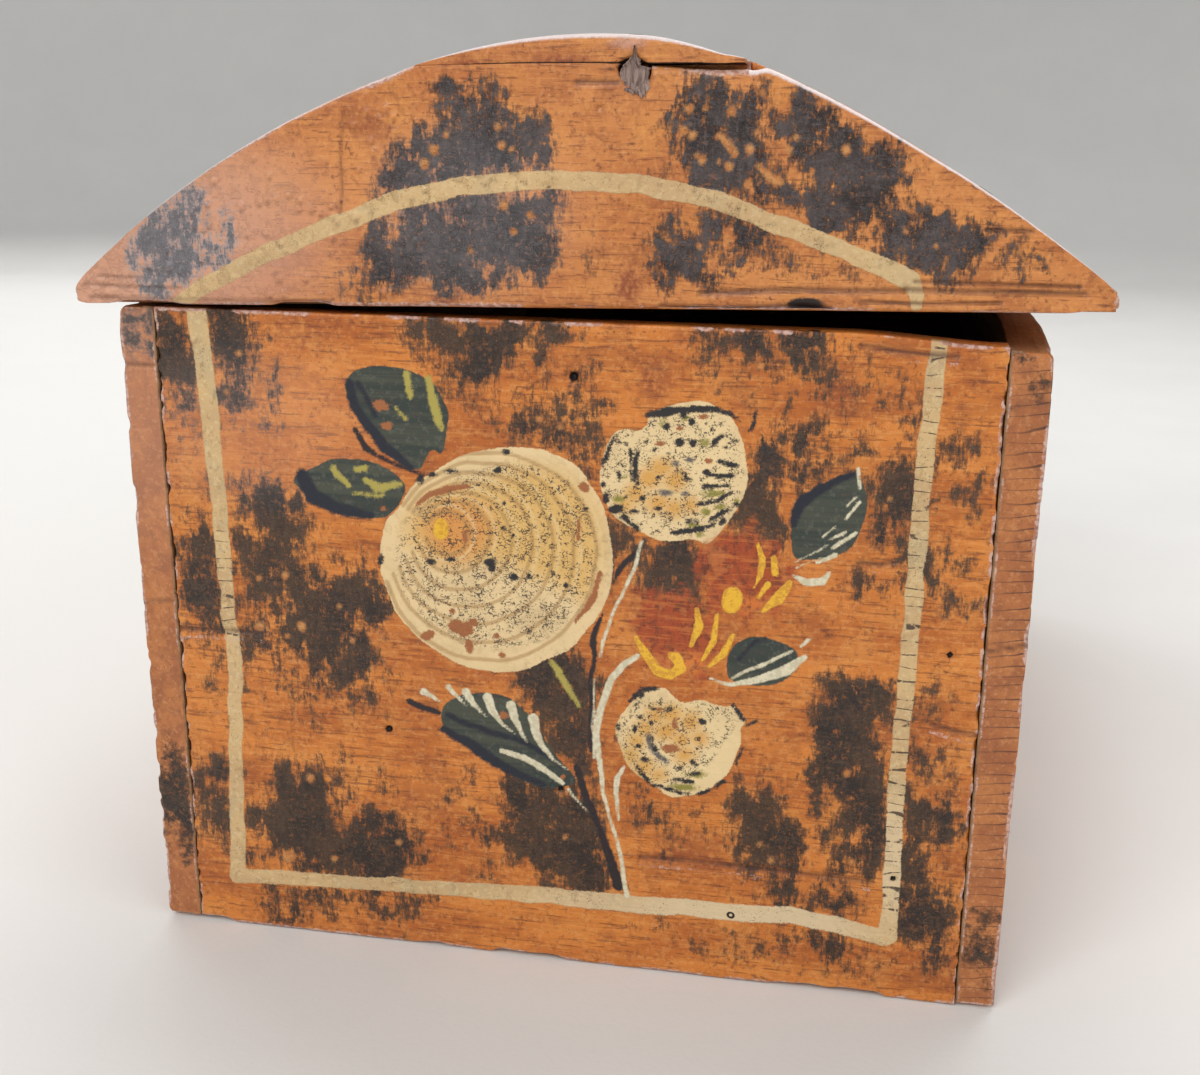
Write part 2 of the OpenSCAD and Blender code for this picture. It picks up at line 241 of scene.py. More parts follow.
def loop_depth(u, v, pts):
    """Depth of each pixel inside a closed outline; negative outside."""
    inside = np.zeros(len(u), bool)
    near = np.full(len(u), 1e3)
    for a, b in zip(pts, np.roll(pts, -1, axis=0)):
        near = np.minimum(near, off_line(u, v, a, b)[1])
        if a[1] != b[1]:
            inside ^= ((a[1] > v) != (b[1] > v)) & (u < a[0] + (v - a[1]) / (b[1] - a[1]) * (b[0] - a[0]))
    return np.where(inside, near, -near)


class Paint:
    """Paint layers over points that have a place (u, v) on a picture plane.
    A crisp layer is 0.5 at its edge and reaches 0 and 1 a few pixels to either side."""

    def __init__(self, u, v, seed):
        self.u, self.v = u, v
        flat = np.stack((u, v, np.zeros(len(u))), -1)
        # places as an unsteady hand moves them, and further moved for the ragged smoky patches
        self.wu = u + 3.0 * (noise(flat, 22, seed + 1) - 0.5)
        self.wv = v + 3.0 * (noise(flat, 22, seed + 2) - 0.5)
        self.su = u + 26.0 * (rough(flat, (36, 26, 1), seed + 3) - 0.5)
        self.sv = v + 38.0 * (rough(flat, (17, 52, 1), seed + 4) - 0.5)
        self.dab = rough(flat, (11, 22, 1), seed + 5) - 0.5
        self.layers = {}

    def near(self, pts, margin):
        """Which points lie in the box around an outline, widened by a margin."""
        p = np.array(pts)[:, :2]
        lo, hi = p.min(0) - margin, p.max(0) + margin
        return np.nonzero((self.u > lo[0]) & (self.u < hi[0]) & (self.v > lo[1]) & (self.v < hi[1]))[0]

    def lay(self, layer, at, field):
        got = self.layers.setdefault(layer, np.zeros(len(self.u)))
        got[at] = np.maximum(got[at], field)

    def stroke(self, layer, pts):
        at = self.near(pts, CRISP_REACH)
        self.lay(layer, at, crisp(stroke_depth(self.wu[at], self.wv[at], pts)))

    def dot(self, layer, u, v, ru, rv):
        at = self.near([(u - ru, v - rv), (u + ru, v + rv)], CRISP_REACH)
        d = 1 - np.hypot((self.wu[at] - u) / ru, (self.wv[at] - v) / rv)
        self.lay(layer, at, crisp(d * min(ru, rv)))

    def area(self, layer, pts):
        at = self.near(pts, CRISP_REACH)
        self.lay(layer, at, crisp(loop_depth(self.wu[at], self.wv[at], smooth_loop(pts))))

    def cloud(self, layer, pts, strength, feather):
        """A soft patch: half strength along its outline."""
        at = self.near(pts, CLOUD_REACH)
        d = loop_depth(self.wu[at], self.wv[at], smooth_loop(pts, 1))
        self.lay(layer, at, strength * np.clip(0.5 + d / (2 * feather), 0, 1))

    def smoke(self, pts, strength, layer="smoke"):
        """A dabbed patch: ragged along its outline, and broken into dabs where it is weak."""
        at = self.near(pts, SMOKE_REACH)
        d = loop_depth(self.su[at], self.sv[at], smooth_loop(pts, 1))
        patch = strength * np.clip(0.6 + d / 32.0, 0, 1)
        self.lay(layer, at, np.clip(patch + 0.8 * self.dab[at] * ease(patch, 0, 0.3), 0, 1.2))

    def glow(self, layer, u, v, ru, rv, strength=1.0):
        """A soft oval that fades towards its rim."""
        at = self.near([(u - ru, v - rv), (u + ru, v + rv)], 0)
        d = np.hypot((self.wu[at] - u) / ru, (self.wv[at] - v) / rv)
        self.lay(layer, at, strength * (1 - ease(d, 0.3, 1.0)))

    def strokes(self, **layers):
        for layer, several in layers.items():
            for pts in several:
                self.stroke(layer, pts)

    def dots(self, **layers):
        for layer, several in layers.items():
            for at in several:
                self.dot(layer, *at)

    def glows(self, **layers):
        for layer, several in layers.items():
            for at in several:
                self.glow(layer, *at)

    def smokes(self, patches):
        for strength, pts in patches:
            self.smoke(pts, strength)


def merged(*paints):
    """The layers of paints that cover different points of one piece."""
    names = sorted({name for p in paints for name in p.layers})
    return {name: sum(p.layers.get(name, 0) for p in paints) for name in names}


def paint_rose(p):
    p.area("cream", [
        (408, 490), (427, 475), (450, 462), (475, 451), (503, 447), (529, 447), (552, 452), (575, 465), (591, 483),
        (603, 506), (610, 531), (614, 557), (612, 582), (603, 608), (587, 631), (570, 649), (547, 661), (521, 670),
        (493, 672), (468, 668), (445, 656), (422, 641), (404, 623), (391, 603), (383, 580), (380, 554), (382, 534),
        (387, 519), (401, 508)])
    p.cloud("ochre", [
        (416, 503), (447, 483), (483, 483), (519, 462), (565, 473), (593, 503), (603, 544), (600, 575), (585, 605),
        (570, 590), (534, 577), (503, 565), (473, 562), (437, 565), (409, 549), (405, 526)], 1.0, 12)
    p.cloud("speck", [
        (404, 520), (440, 488), (500, 460), (560, 470), (592, 515), (598, 560), (585, 600), (555, 635), (500, 650),
        (450, 640), (412, 610), (394, 570)], 1.0, 10)
    p.glow("orange", 458, 529, 52, 46)
    # rings that widen from the heart of the flower and drift to the lower right: a dark line of paint, and beside it a
    # raised pale line lightened as painted highlight
    turns = np.linspace(-2.6, 2.9, 40)
    for share in np.arange(1, 8) / 8:
        cu, cv, reach = 440 + 57 * share, 529 + 31 * share, 8 + 112 * share
        ring = np.stack((cu + reach * np.cos(turns), cv + 0.98 * reach * np.sin(turns)), -1)
        p.stroke("dark_ring", [(a, b, 1.9) for a, b in ring])
        p.stroke("pale_ring", [(a + 6 * math.cos(t), b + 6 * math.sin(t), 1.7) for (a, b), t in zip(ring, turns)])
    p.strokes(rust=([(417, 505, 1.5), (429, 495, 3), (450, 488, 3.4), (470, 485, 2)],
                    [(576, 622, 1.5), (591, 600, 3.4), (601, 572, 2.2)], [(578, 520, 1.5), (578, 538, 2)]))
    p.dots(
        rust=((428, 635, 7, 5), (457, 627, 9, 6), (466, 630, 8, 7), (474, 623, 4, 4), (470, 646, 4, 8),
              (497, 636, 4, 3), (501, 654, 4, 3), (584, 487, 6, 5), (452, 612, 4, 3), (465, 536, 3, 8)),
        yellow=((440, 529, 8.4, 11.5),),
        black=((490, 563, 7, 4), (491, 569, 4, 4), (432, 562, 5, 3), (452, 559, 5, 2.5), (506, 452, 5, 3),
               (498, 470, 4, 3), (452, 472, 7, 2.5), (514, 577, 5, 4), (503, 527, 3, 3), (530, 575, 3, 3.5),
               (566, 585, 2.5, 3), (553, 573, 2.5, 3), (421, 479, 3, 6), (432, 474, 6, 3), (381, 560, 3, 6),
               (505, 504, 2.5, 2.5), (513, 535, 2.5, 2.5), (585, 508, 3, 2.5)))


def paint_upper_flower(p):
    p.area("cream", [
        (641, 431), (649, 422), (646, 414), (672, 405), (702, 400), (718, 408), (735, 418), (741, 436), (746, 459),
        (748, 481), (741, 502), (730, 522), (718, 535), (706, 545), (695, 538), (672, 542), (656, 541), (646, 534),
        (626, 526), (610, 513), (602, 493), (599, 468), (605, 447), (615, 432), (628, 428)])
    p.cloud("speck", [
        (610, 440), (650, 420), (700, 412), (735, 430), (742, 480), (722, 524), (665, 538), (612, 512), (603, 470)],
        1.6, 8)
    p.glow("pale", 675, 470, 100, 95, 0.9)
    p.dots(
        ochre=((661, 469, 13, 10), (650, 479, 13, 11), (676, 481, 11, 11), (636, 494, 11, 10), (626, 504, 10, 9),
               (659, 504, 13, 9), (674, 509, 10, 9), (690, 505, 8, 8)),
        rust=((709, 460, 4, 2.4), (660, 444, 5, 2.6), (704, 418, 6, 2.6), (679, 429, 3.4, 2.4)),
        grey=((666, 494, 7, 3), (685, 495, 4, 3), (674, 464, 4, 3), (689, 460, 5, 2.4)),
        olive=((619, 499, 6, 3), (662, 422, 2.6, 4.4), (687, 419, 3.4, 2.4), (704, 444, 7, 2.6), (713, 494, 11, 3.6),
               (706, 511, 5, 4), (693, 525, 7, 2.6), (698, 534, 4, 3), (737, 501, 3, 3), (721, 508, 6, 2.4),
               (624, 478, 4.4, 2)),
        black=((666, 426, 4, 4), (683, 416, 4, 2.5), (692, 422, 4.5, 4), (679, 443, 4.6, 4.6), (692, 444, 4, 4),
               (654, 450, 2.7, 2.7), (619, 443, 2.2, 2.2), (626, 444, 3, 2), (644, 498, 3.5, 3), (636, 511, 5, 2.5),
               (659, 509, 5, 2.5), (627, 497, 2.5, 2.5), (659, 479, 2.6, 2.6), (602, 464, 2.4, 5), (604, 484, 3, 3),
               (606, 498, 4, 6), (616, 509, 8, 5), (624, 517, 4, 3), (724, 521, 4, 4), (737, 505, 4, 2),
               (736, 441, 3, 1.8), (727, 448, 3, 1.6), (646, 509, 2, 2), (668, 455, 2, 2), (712, 430, 2, 2)))
    p.strokes(
        black=([(647, 414, 2.9), (669, 411, 4.1), (697, 410, 3.5), (718, 410, 2.9), (734, 415, 2.1), (741, 420, 1.5)],
               [(631, 449, 1.9), (633, 481, 2)], [(639, 450, 2.1), (636, 469, 2.7), (639, 485, 2.3)],
               [(618, 472, 2.1), (621, 479, 2.1)], [(713, 444, 3.3), (723, 436, 2.5)],
               [(706, 472, 3.3), (716, 477, 2.9), (734, 476, 1.8)], [(720, 461, 2.3), (737, 466, 2.5)],
               [(703, 488, 2.1), (728, 486, 1.8)], [(697, 503, 1.8), (719, 501, 2.3), (730, 494, 1.9)],
               [(709, 519, 1.8), (721, 514, 2.2), (731, 511, 1.8)], [(687, 521, 1.9), (696, 521, 1.9)],
               [(671, 533, 2.1), (690, 530, 2.9), (713, 524, 2.5)], [(681, 473, 2), (691, 482, 2)],
               [(623, 516, 2.1), (637, 530, 2.3)], [(615, 437, 2.1), (604, 460, 2.3)],
               [(757, 410, 1.5), (754, 424, 2.1), (749, 431, 1.5)], [(762, 435, 2), (766, 455, 2.7)]))


def paint_lower_flower(p):
    p.area("cream", [
        (615, 734), (619, 719), (627, 706), (640, 695), (655, 687), (668, 687), (674, 697), (684, 704), (698, 700),
        (714, 705), (726, 708), (732, 704), (742, 713), (746, 722), (739, 728), (741, 742), (735, 760), (724, 778),
        (706, 790), (686, 797), (668, 798), (655, 788), (637, 775), (624, 762), (622, 750)])
    p.cloud("speck", [(618, 728), (645, 696), (690, 706), (738, 712), (722, 742), (700, 770), (660, 788), (628, 762)],
            1.6, 8)
    p.glow("pale", 690, 745, 90, 75)
    p.dots(
        ochre=((656, 715, 10, 9), (672, 714, 12, 9), (667, 730, 13, 10), (691, 722, 9, 10), (646, 728, 9, 10),
               (637, 741, 9, 9), (631, 756, 9, 10), (644, 767, 10, 9), (681, 739, 10, 8), (684, 754, 10, 8),
               (699, 738, 8, 8), (657, 775, 9, 7)),
        rust=((676, 724, 3, 6), (670, 748, 9, 4.4), (660, 709, 3, 2)),
        olive=((684, 787, 14, 3.4), (697, 775, 8, 3)),
        black=((641, 696, 3, 4.4), (635, 706, 2.5, 2), (654, 709, 3, 2), (670, 709, 4, 2.2), (641, 717, 3, 2.2),
               (636, 729, 3, 4.4), (645, 760, 4, 3), (702, 721, 4, 3), (698, 738, 2.4, 2.4), (681, 768, 4, 2.2),
               (694, 774, 5, 2), (619, 728, 2.2, 4), (616, 739, 1.8, 3), (639, 746, 2.6, 2.6), (652, 722, 2, 2)))
    p.strokes(
        grey=([(649, 735, 2.6), (651, 746, 3), (660, 756, 3), (667, 761, 2.4)],),
        black=([(630, 701, 2.1), (642, 691, 2.7), (658, 687, 2.3)], [(732, 705, 2.5), (743, 719, 2.5)],
               [(747, 724, 1.5), (757, 719, 1.5)], [(673, 778, 1.8), (686, 781, 2), (693, 781, 1.8)],
               [(634, 761, 1.8), (650, 785, 2), (664, 789, 2), (689, 794, 1.8)],
               [(697, 793, 1.9), (708, 789, 2)], [(716, 785, 1.9), (723, 781, 1.9)], [(736, 764, 2), (741, 750, 2)],
               [(691, 761, 1.8), (697, 765, 1.8)], [(652, 737, 1.9), (656, 750, 2.1)]))


def paint_buds(p):
    p.smoke([(636, 597), (661, 595), (695, 605), (712, 628), (722, 650), (708, 668), (680, 676), (654, 674), (641, 656),
             (633, 626)], 0.95, "red")
    p.smoke([(705, 540), (731, 538), (756, 538), (769, 548), (790, 571), (790, 594), (767, 612), (741, 614), (718, 609),
             (703, 586), (698, 563)], 0.95, "red")
    p.glows(orange=((686, 664, 26, 18, 1.2), (752, 606, 26, 14, 0.8)))
    p.strokes(yellow=(
        [(637, 636, 2.6), (645, 654, 5), (656, 669, 5.2), (671, 674, 5), (681, 667, 6), (677, 657, 6), (671, 655, 4)],
        [(697, 610, 2.6), (699, 626, 5), (691, 645, 2.2)], [(718, 615, 2.4), (713, 641, 4), (701, 659, 2)],
        [(733, 635, 2.4), (724, 654, 4.4), (708, 666, 2.2)],
        [(758, 544, 2.2), (763, 558, 3.8), (760, 576, 3), (754, 589, 1.4)], [(774, 558, 3.2), (774, 574, 4.2)],
        [(768, 586, 4.2), (759, 599, 2)], [(789, 583, 3.6), (779, 599, 6), (764, 612, 2.4)]))
    p.dot("yellow", 732, 600, 11, 13.5)


def paint_leaves(p):
    for pts in (
            [(345, 382), (355, 369), (378, 365), (404, 368), (424, 377), (439, 387), (448, 408), (447, 428), (445, 443),
             (442, 456), (432, 448), (424, 459), (419, 471), (396, 464), (376, 443), (358, 420), (348, 400)],
            [(291, 479), (307, 469), (332, 459), (358, 457), (383, 466), (406, 484), (405, 502), (396, 515), (376, 520),
             (345, 515), (320, 504), (302, 492)],
            [(790, 535), (790, 517), (800, 499), (823, 484), (843, 474), (856, 473), (864, 484), (869, 502), (864, 527),
             (853, 548), (833, 558), (813, 560), (795, 560), (790, 550)],
            [(726, 670), (731, 647), (746, 637), (767, 637), (790, 647), (797, 655), (798, 668), (780, 684), (752, 687),
             (728, 680)],
            [(439, 714), (443, 704), (461, 695), (484, 692), (507, 696), (525, 709), (535, 724), (553, 752), (568, 770),
             (579, 783), (563, 788), (543, 788), (520, 780), (502, 765), (482, 750), (459, 737), (442, 727)]):
        p.area("leaf", pts)
    p.strokes(
        ink=([(350, 382, 4), (355, 408, 5), (383, 446, 6), (411, 468, 3)], [(358, 382, 2.4), (376, 415, 2.6)],
             [(302, 474, 6), (312, 496, 8), (335, 509, 6), (371, 516, 4)],
             [(792, 525, 4), (802, 502, 6), (833, 482, 4), (856, 473, 2.4)],
             [(739, 660, 2), (754, 642, 2), (767, 640, 1.5)],
             [(442, 728, 3.4), (476, 747, 6), (502, 765, 5), (543, 785, 3)],
             [(446, 714, 2.4), (489, 732, 3), (528, 742, 3), (563, 768, 2)]),
        lime=([(428, 379, 3.4), (433, 400, 5), (438, 423, 4), (442, 430, 2)], [(406, 374, 4), (410, 397, 2.6)],
              [(396, 407, 1.4), (406, 418, 1.4)], [(332, 469, 3), (348, 487, 2.2)],
              [(365, 481, 3), (378, 489, 4.8), (399, 485, 2.2)], [(353, 494, 1.5), (383, 497, 2)],
              [(356, 469, 3), (364, 468, 4)], [(552, 664, 2.6), (563, 678, 4), (579, 706, 1.8)]),
        white=([(858, 470, 2.4), (860, 487, 2)], [(856, 497, 1.4), (847, 507, 1.5)], [(860, 502, 2), (846, 520, 2)],
               [(836, 527, 1.4), (822, 538, 1.5)], [(846, 533, 2), (830, 540, 1.6)],
               [(857, 534, 2.2), (833, 548, 2.4)], [(828, 545, 1.4), (794, 562, 1.2)], [(836, 555, 3), (818, 563, 2)],
               [(823, 557, 1.2), (795, 568, 1.2)], [(792, 575, 1.8), (807, 583, 4), (823, 582, 4), (830, 573, 2.2)],
               [(808, 641, 2.4), (800, 647, 1.8)], [(791, 652, 1.8), (764, 665, 2.2), (731, 678, 2)],
               [(710, 679, 1.6), (727, 684, 2.4), (752, 682, 3.6), (787, 670, 5.6), (805, 657, 3)],
               [(424, 691, 4), (441, 703, 1)], [(448, 686, 3.2), (455, 695, 2.8), (466, 706, 1)],
               [(466, 692, 4.6), (473, 704, 3.2), (486, 717, 1)],
               [(487, 697, 5), (492, 711, 4), (502, 724, 2.2), (515, 734, 1)],
               [(511, 706, 5.6), (515, 719, 4.2), (522, 734, 2.4), (528, 741, 1.5)],
               [(534, 719, 6), (536, 732, 4.6), (543, 747, 3), (553, 760, 2), (568, 771, 1)],
               [(502, 751, 2.6), (525, 757, 3.4), (538, 765, 3.4), (556, 779, 3), (563, 784, 2.2)],
               [(568, 790, 2), (586, 811, 1.4)]))
    p.dots(rust=((381, 405, 8, 5), (386, 425, 6, 4), (503, 716, 5, 4), (563, 778, 2.5, 2.5), (384, 509, 4, 3)))


def paint_stems(p):
    p.strokes(
        stem=([(576, 768, 3.6), (589, 803, 4), (601, 834, 3), (612, 862, 5), (619, 885, 5.6)],
              [(590, 750, 2), (591, 717, 2), (591, 678, 2.4), (595, 640, 2.8)],
              [(593, 646, 3), (598, 621, 3), (608, 585, 3), (621, 567, 3), (638, 552, 3.4)],
              [(354, 430, 2.6), (365, 448, 3.2), (378, 456, 2), (396, 466, 2), (419, 473, 2)],
              [(410, 701, 3), (420, 706, 3.2), (438, 713, 2.4)]),
        white=([(627, 896, 3), (622, 857, 2.4), (614, 834, 2.2), (604, 793, 2.4), (599, 762, 3), (596, 737, 4),
                (601, 706, 4), (612, 678, 4), (624, 664, 4), (637, 657, 3.2)],
               [(593, 757, 1.3), (593, 724, 1.4), (595, 678, 1.3)],
               [(599, 658, 1.8), (605, 636, 2), (618, 603, 2.2), (636, 567, 2.4), (642, 541, 2.2)],
               [(619, 819, 1.6), (617, 793, 3), (617, 778, 3.4), (624, 767, 1.8)]))


def paint_spray(p):
    """The spray of flowers, drawn at its place on the near end."""
    paint_stems(p)
    paint_leaves(p)
    paint_buds(p)
    paint_rose(p)
    paint_upper_flower(p)
    paint_lower_flower(p)
    # stems and leaves pass behind the flowers
    for layer in ("stem", "leaf"):
        p.layers[layer] *= 1 - ease(p.layers["cream"], 0.3, 0.5)


# smoky patches, as (strength, outline)
CASE_SMOKE = (
    (0.22, [(165, 480), (290, 470), (330, 540), (385, 560), (380, 690), (300, 720), (200, 700), (170, 600)]),
    (0.22, [(180, 745), (300, 740), (420, 790), (430, 890), (250, 872), (190, 850)]),
    (0.12, [(620, 790), (760, 770), (890, 690), (890, 910), (740, 890), (630, 860)]),
    (0.22, [(900, 660), (955, 690), (955, 970), (900, 950)]),
    (0.22, [(400, 330), (600, 335), (600, 460), (520, 450), (450, 400)]),
    (0.22, [(740, 340), (930, 350), (910, 560), (800, 480), (760, 430)]),
    (0.22, [(250, 885), (440, 905), (430, 935), (250, 915)]), (0.22, [(640, 915), (960, 950), (950, 985), (640, 945)]),
    (0.22, [(440, 760), (520, 790), (520, 880), (430, 870)]),
    (1.0, [(155, 307), (187, 307), (187, 339), (195, 364), (192, 382), (167, 378), (155, 364)]),
    (0.95, [(209, 307), (246, 307), (253, 326), (258, 341), (243, 346), (248, 364), (243, 379), (233, 387), (243, 405),
            (248, 413), (233, 410), (218, 408), (215, 364), (210, 344)]),
    (0.6, [(160, 388), (198, 386), (202, 404), (180, 412), (162, 402)]),
    (0.7, [(262, 375), (276, 374), (277, 398), (264, 398)]), (0.6, [(262, 408), (271, 408), (271, 430), (262, 430)]),
    (0.6, [(180, 428), (204, 424), (204, 440), (184, 442)]), (0.6, [(222, 415), (240, 418), (238, 432), (224, 432)]),
    (1.0, [(246, 480), (270, 483), (282, 493), (295, 505), (297, 530), (285, 535), (253, 533), (249, 505)]),
    (0.95, [(175, 529), (218, 529), (217, 573), (223, 609), (223, 624), (198, 620), (186, 588), (176, 568)]),
    (1.0, [(233, 538), (263, 535), (302, 540), (312, 566), (330, 562), (358, 578), (373, 566), (380, 594), (390, 609),
           (371, 613), (348, 617), (345, 637), (371, 642), (378, 664), (358, 680), (322, 680), (312, 660), (297, 658),
           (282, 637), (292, 619), (282, 601), (269, 588), (248, 586), (236, 561)]),
    (0.8, [(237, 606), (258, 604), (263, 640), (255, 660), (239, 660)]),
    (0.55, [(346, 678), (392, 680), (390, 702), (352, 702)]), (0.5, [(303, 681), (330, 684), (329, 716), (306, 712)]),
    (1.0, [(272, 768), (293, 766), (308, 780), (330, 773), (332, 803), (342, 819), (370, 822), (400, 815), (412, 834),
           (423, 852), (419, 872), (395, 879), (349, 880), (301, 874), (301, 857), (283, 846), (266, 836), (250, 831),
           (245, 816), (273, 811), (276, 793)]),
    (0.85, [(192, 765), (228, 758), (230, 788), (228, 841), (200, 838), (192, 819), (198, 793)]),
    (0.6, [(262, 888), (300, 890), (300, 922), (262, 914)]),
    (0.75, [(301, 889), (350, 891), (395, 895), (432, 899), (427, 914), (395, 912), (360, 907), (308, 906)]),
    (1.0, [(520, 671), (545, 656), (570, 650), (578, 668), (591, 678), (593, 717), (591, 749), (575, 764), (553, 749),
           (543, 726), (533, 717), (524, 696)]),
    (1.0, [(500, 781), (553, 788), (581, 791), (591, 813), (604, 839), (610, 857), (620, 887), (579, 889), (551, 887),
           (549, 870), (526, 861), (513, 846), (503, 831), (508, 806)]),
    (0.6, [(560, 745), (588, 742), (592, 790), (570, 785)]),
    (0.55, [(622, 790), (646, 790), (640, 808), (626, 806)]), (0.5, [(640, 800), (670, 808), (668, 834), (644, 828)]),
    (1.0, [(735, 776), (754, 783), (767, 798), (785, 816), (793, 840), (786, 872), (765, 876), (743, 864), (732, 842),
           (735, 815)]),
    (1.0, [(822, 675), (839, 680), (859, 686), (872, 678), (891, 690), (887, 722), (880, 749), (887, 774), (876, 802),
           (854, 796), (839, 781), (807, 781), (820, 757), (812, 744), (822, 722), (817, 707)]),
    (0.95, [(842, 797), (891, 797), (887, 829), (887, 871), (869, 873), (847, 866), (857, 839), (837, 829)]),
    (0.55, [(807, 784), (850, 790), (858, 868), (820, 872), (808, 830)]),
    (1.0, [(902, 785), (921, 792), (941, 797), (951, 819), (967, 827), (951, 841), (926, 843), (921, 859), (926, 889),
           (941, 904), (952, 931), (919, 938), (904, 928), (899, 894), (901, 839)]),
    (0.6, [(909, 742), (950, 744), (948, 766), (912, 766)]), (0.55, [(914, 685), (940, 688), (938, 722), (916, 720)]),
    (0.9, [(765, 877), (797, 887), (812, 903), (806, 909), (770, 906)]),
    (0.65, [(812, 884), (854, 888), (856, 918), (816, 912)]), (0.6, [(809, 932), (854, 940), (846, 968), (812, 958)]),
    (0.7, [(930, 934), (958, 938), (956, 968), (932, 962)]), (0.5, [(770, 922), (800, 926), (796, 944), (774, 940)]),
    (0.95, [(398, 316), (470, 318), (578, 326), (570, 338), (538, 353), (515, 357), (501, 364), (488, 374), (459, 374),
            (457, 349), (434, 366), (425, 345)]),
    (0.75, [(515, 398), (540, 396), (560, 404), (575, 400), (578, 420), (570, 446), (545, 452), (518, 440)]),
    (0.6, [(568, 390), (600, 392), (604, 420), (596, 470), (582, 476), (580, 430)]),
    (0.6, [(692, 326), (740, 330), (738, 380), (700, 376)]),
    (0.95, [(747, 334), (790, 333), (826, 341), (820, 362), (798, 378), (785, 352), (766, 374), (747, 352)]),
    (1.0, [(747, 452), (764, 446), (773, 457), (784, 463), (778, 479), (770, 492), (770, 509), (783, 522), (791, 545),
           (767, 550), (755, 540), (728, 529), (741, 504)]),
    (0.75, [(777, 442), (792, 421), (814, 421), (806, 443), (809, 457), (835, 463), (823, 475), (794, 493),
            (788, 474)]),
    (0.95, [(872, 478), (899, 459), (914, 463), (914, 497), (911, 527), (897, 527), (892, 537), (878, 548), (868, 535),
            (873, 509)]),
    (0.85, [(898, 546), (926, 546), (937, 580), (925, 588), (904, 572)]),
    (0.7, [(935, 458), (974, 439), (962, 457), (940, 468)]),
    (0.7, [(937, 503), (968, 496), (982, 483), (967, 511), (942, 514)]),
    (0.6, [(926, 567), (942, 562), (937, 586)]), (0.5, [(937, 548), (968, 556), (964, 570), (940, 562)]),
    (0.6, [(948, 606), (966, 600), (978, 612), (960, 622)]),
    (0.9, [(638, 545), (670, 540), (700, 558), (700, 590), (682, 612), (650, 600), (640, 575)]),
    (0.85, [(596, 545), (625, 530), (640, 545), (625, 565), (608, 580)]),
    (0.6, [(850, 580), (880, 584), (876, 600), (856, 598)]),
)
END_GRAIN_SMOKE = (
    (0.9, [(130, 311), (153, 308), (153, 346), (138, 348)]), (0.9, [(160, 750), (196, 760), (196, 842), (170, 838)]),
    (0.6, [(1010, 345), (1030, 348), (1028, 372), (1012, 370)]),
    (0.6, [(1036, 365), (1046, 365), (1042, 385), (1036, 383)]),
    (0.7, [(965, 910), (1000, 916), (996, 970), (962, 960)]),
)
LID_SMOKE = (
    (0.22, [(360, 210), (440, 80), (560, 100), (570, 290), (380, 296)]),
    (0.22, [(670, 90), (800, 90), (910, 170), (980, 220), (960, 284), (700, 280), (650, 230)]),
    (0.22, [(110, 280), (150, 220), (240, 190), (240, 260), (170, 298)]),
    (0.85, [(134, 234), (166, 202), (210, 190), (214, 207), (199, 227), (200, 246), (222, 237), (226, 250), (210, 266),
            (194, 274), (172, 288), (146, 284), (134, 268), (128, 254)]),
    (1.0, [(444, 92), (465, 83), (476, 96), (474, 110), (483, 107), (486, 91), (500, 94), (513, 110), (547, 126),
           (559, 154), (531, 163), (511, 171), (453, 175), (442, 178), (407, 191), (392, 186), (390, 168), (402, 145),
           (437, 129), (448, 118)]),
    (1.0, [(365, 228), (384, 232), (398, 240), (405, 209), (446, 198), (499, 190), (551, 186), (552, 234), (549, 270),
           (503, 267), (477, 286), (446, 291), (426, 287), (407, 275), (384, 291), (363, 282), (367, 250)]),
    (0.8, [(342, 276), (360, 278), (358, 292), (344, 290)]),
    (1.0, [(684, 79), (710, 83), (725, 98), (752, 90), (761, 96), (754, 120), (769, 139), (761, 162), (769, 180),
           (792, 188), (800, 210), (774, 206), (751, 198), (728, 194), (692, 187), (680, 166), (684, 142), (668, 123),
           (680, 108)]),
    (1.0, [(772, 108), (797, 94), (824, 117), (836, 109), (846, 134), (884, 145), (907, 169), (903, 197), (879, 213),
           (852, 229), (824, 237), (803, 208), (810, 185), (806, 150), (788, 132)]),
    (0.95, [(876, 219), (896, 213), (920, 206), (943, 206), (960, 226), (987, 225), (980, 258), (963, 279), (935, 279),
            (911, 267), (887, 251)]),
    (0.9, [(654, 234), (671, 221), (679, 240), (694, 221), (711, 234), (707, 257), (715, 278), (694, 275), (679, 275),
           (671, 287), (653, 274)]),
    (0.75, [(692, 206), (725, 209), (756, 225), (777, 237), (773, 271), (755, 259), (744, 275), (731, 247),
            (716, 231)]),
    (0.6, [(1006, 248), (1040, 246), (1040, 270), (1010, 270)]),
    (0.4, [(575, 250), (592, 240), (596, 268), (580, 280)]),
)
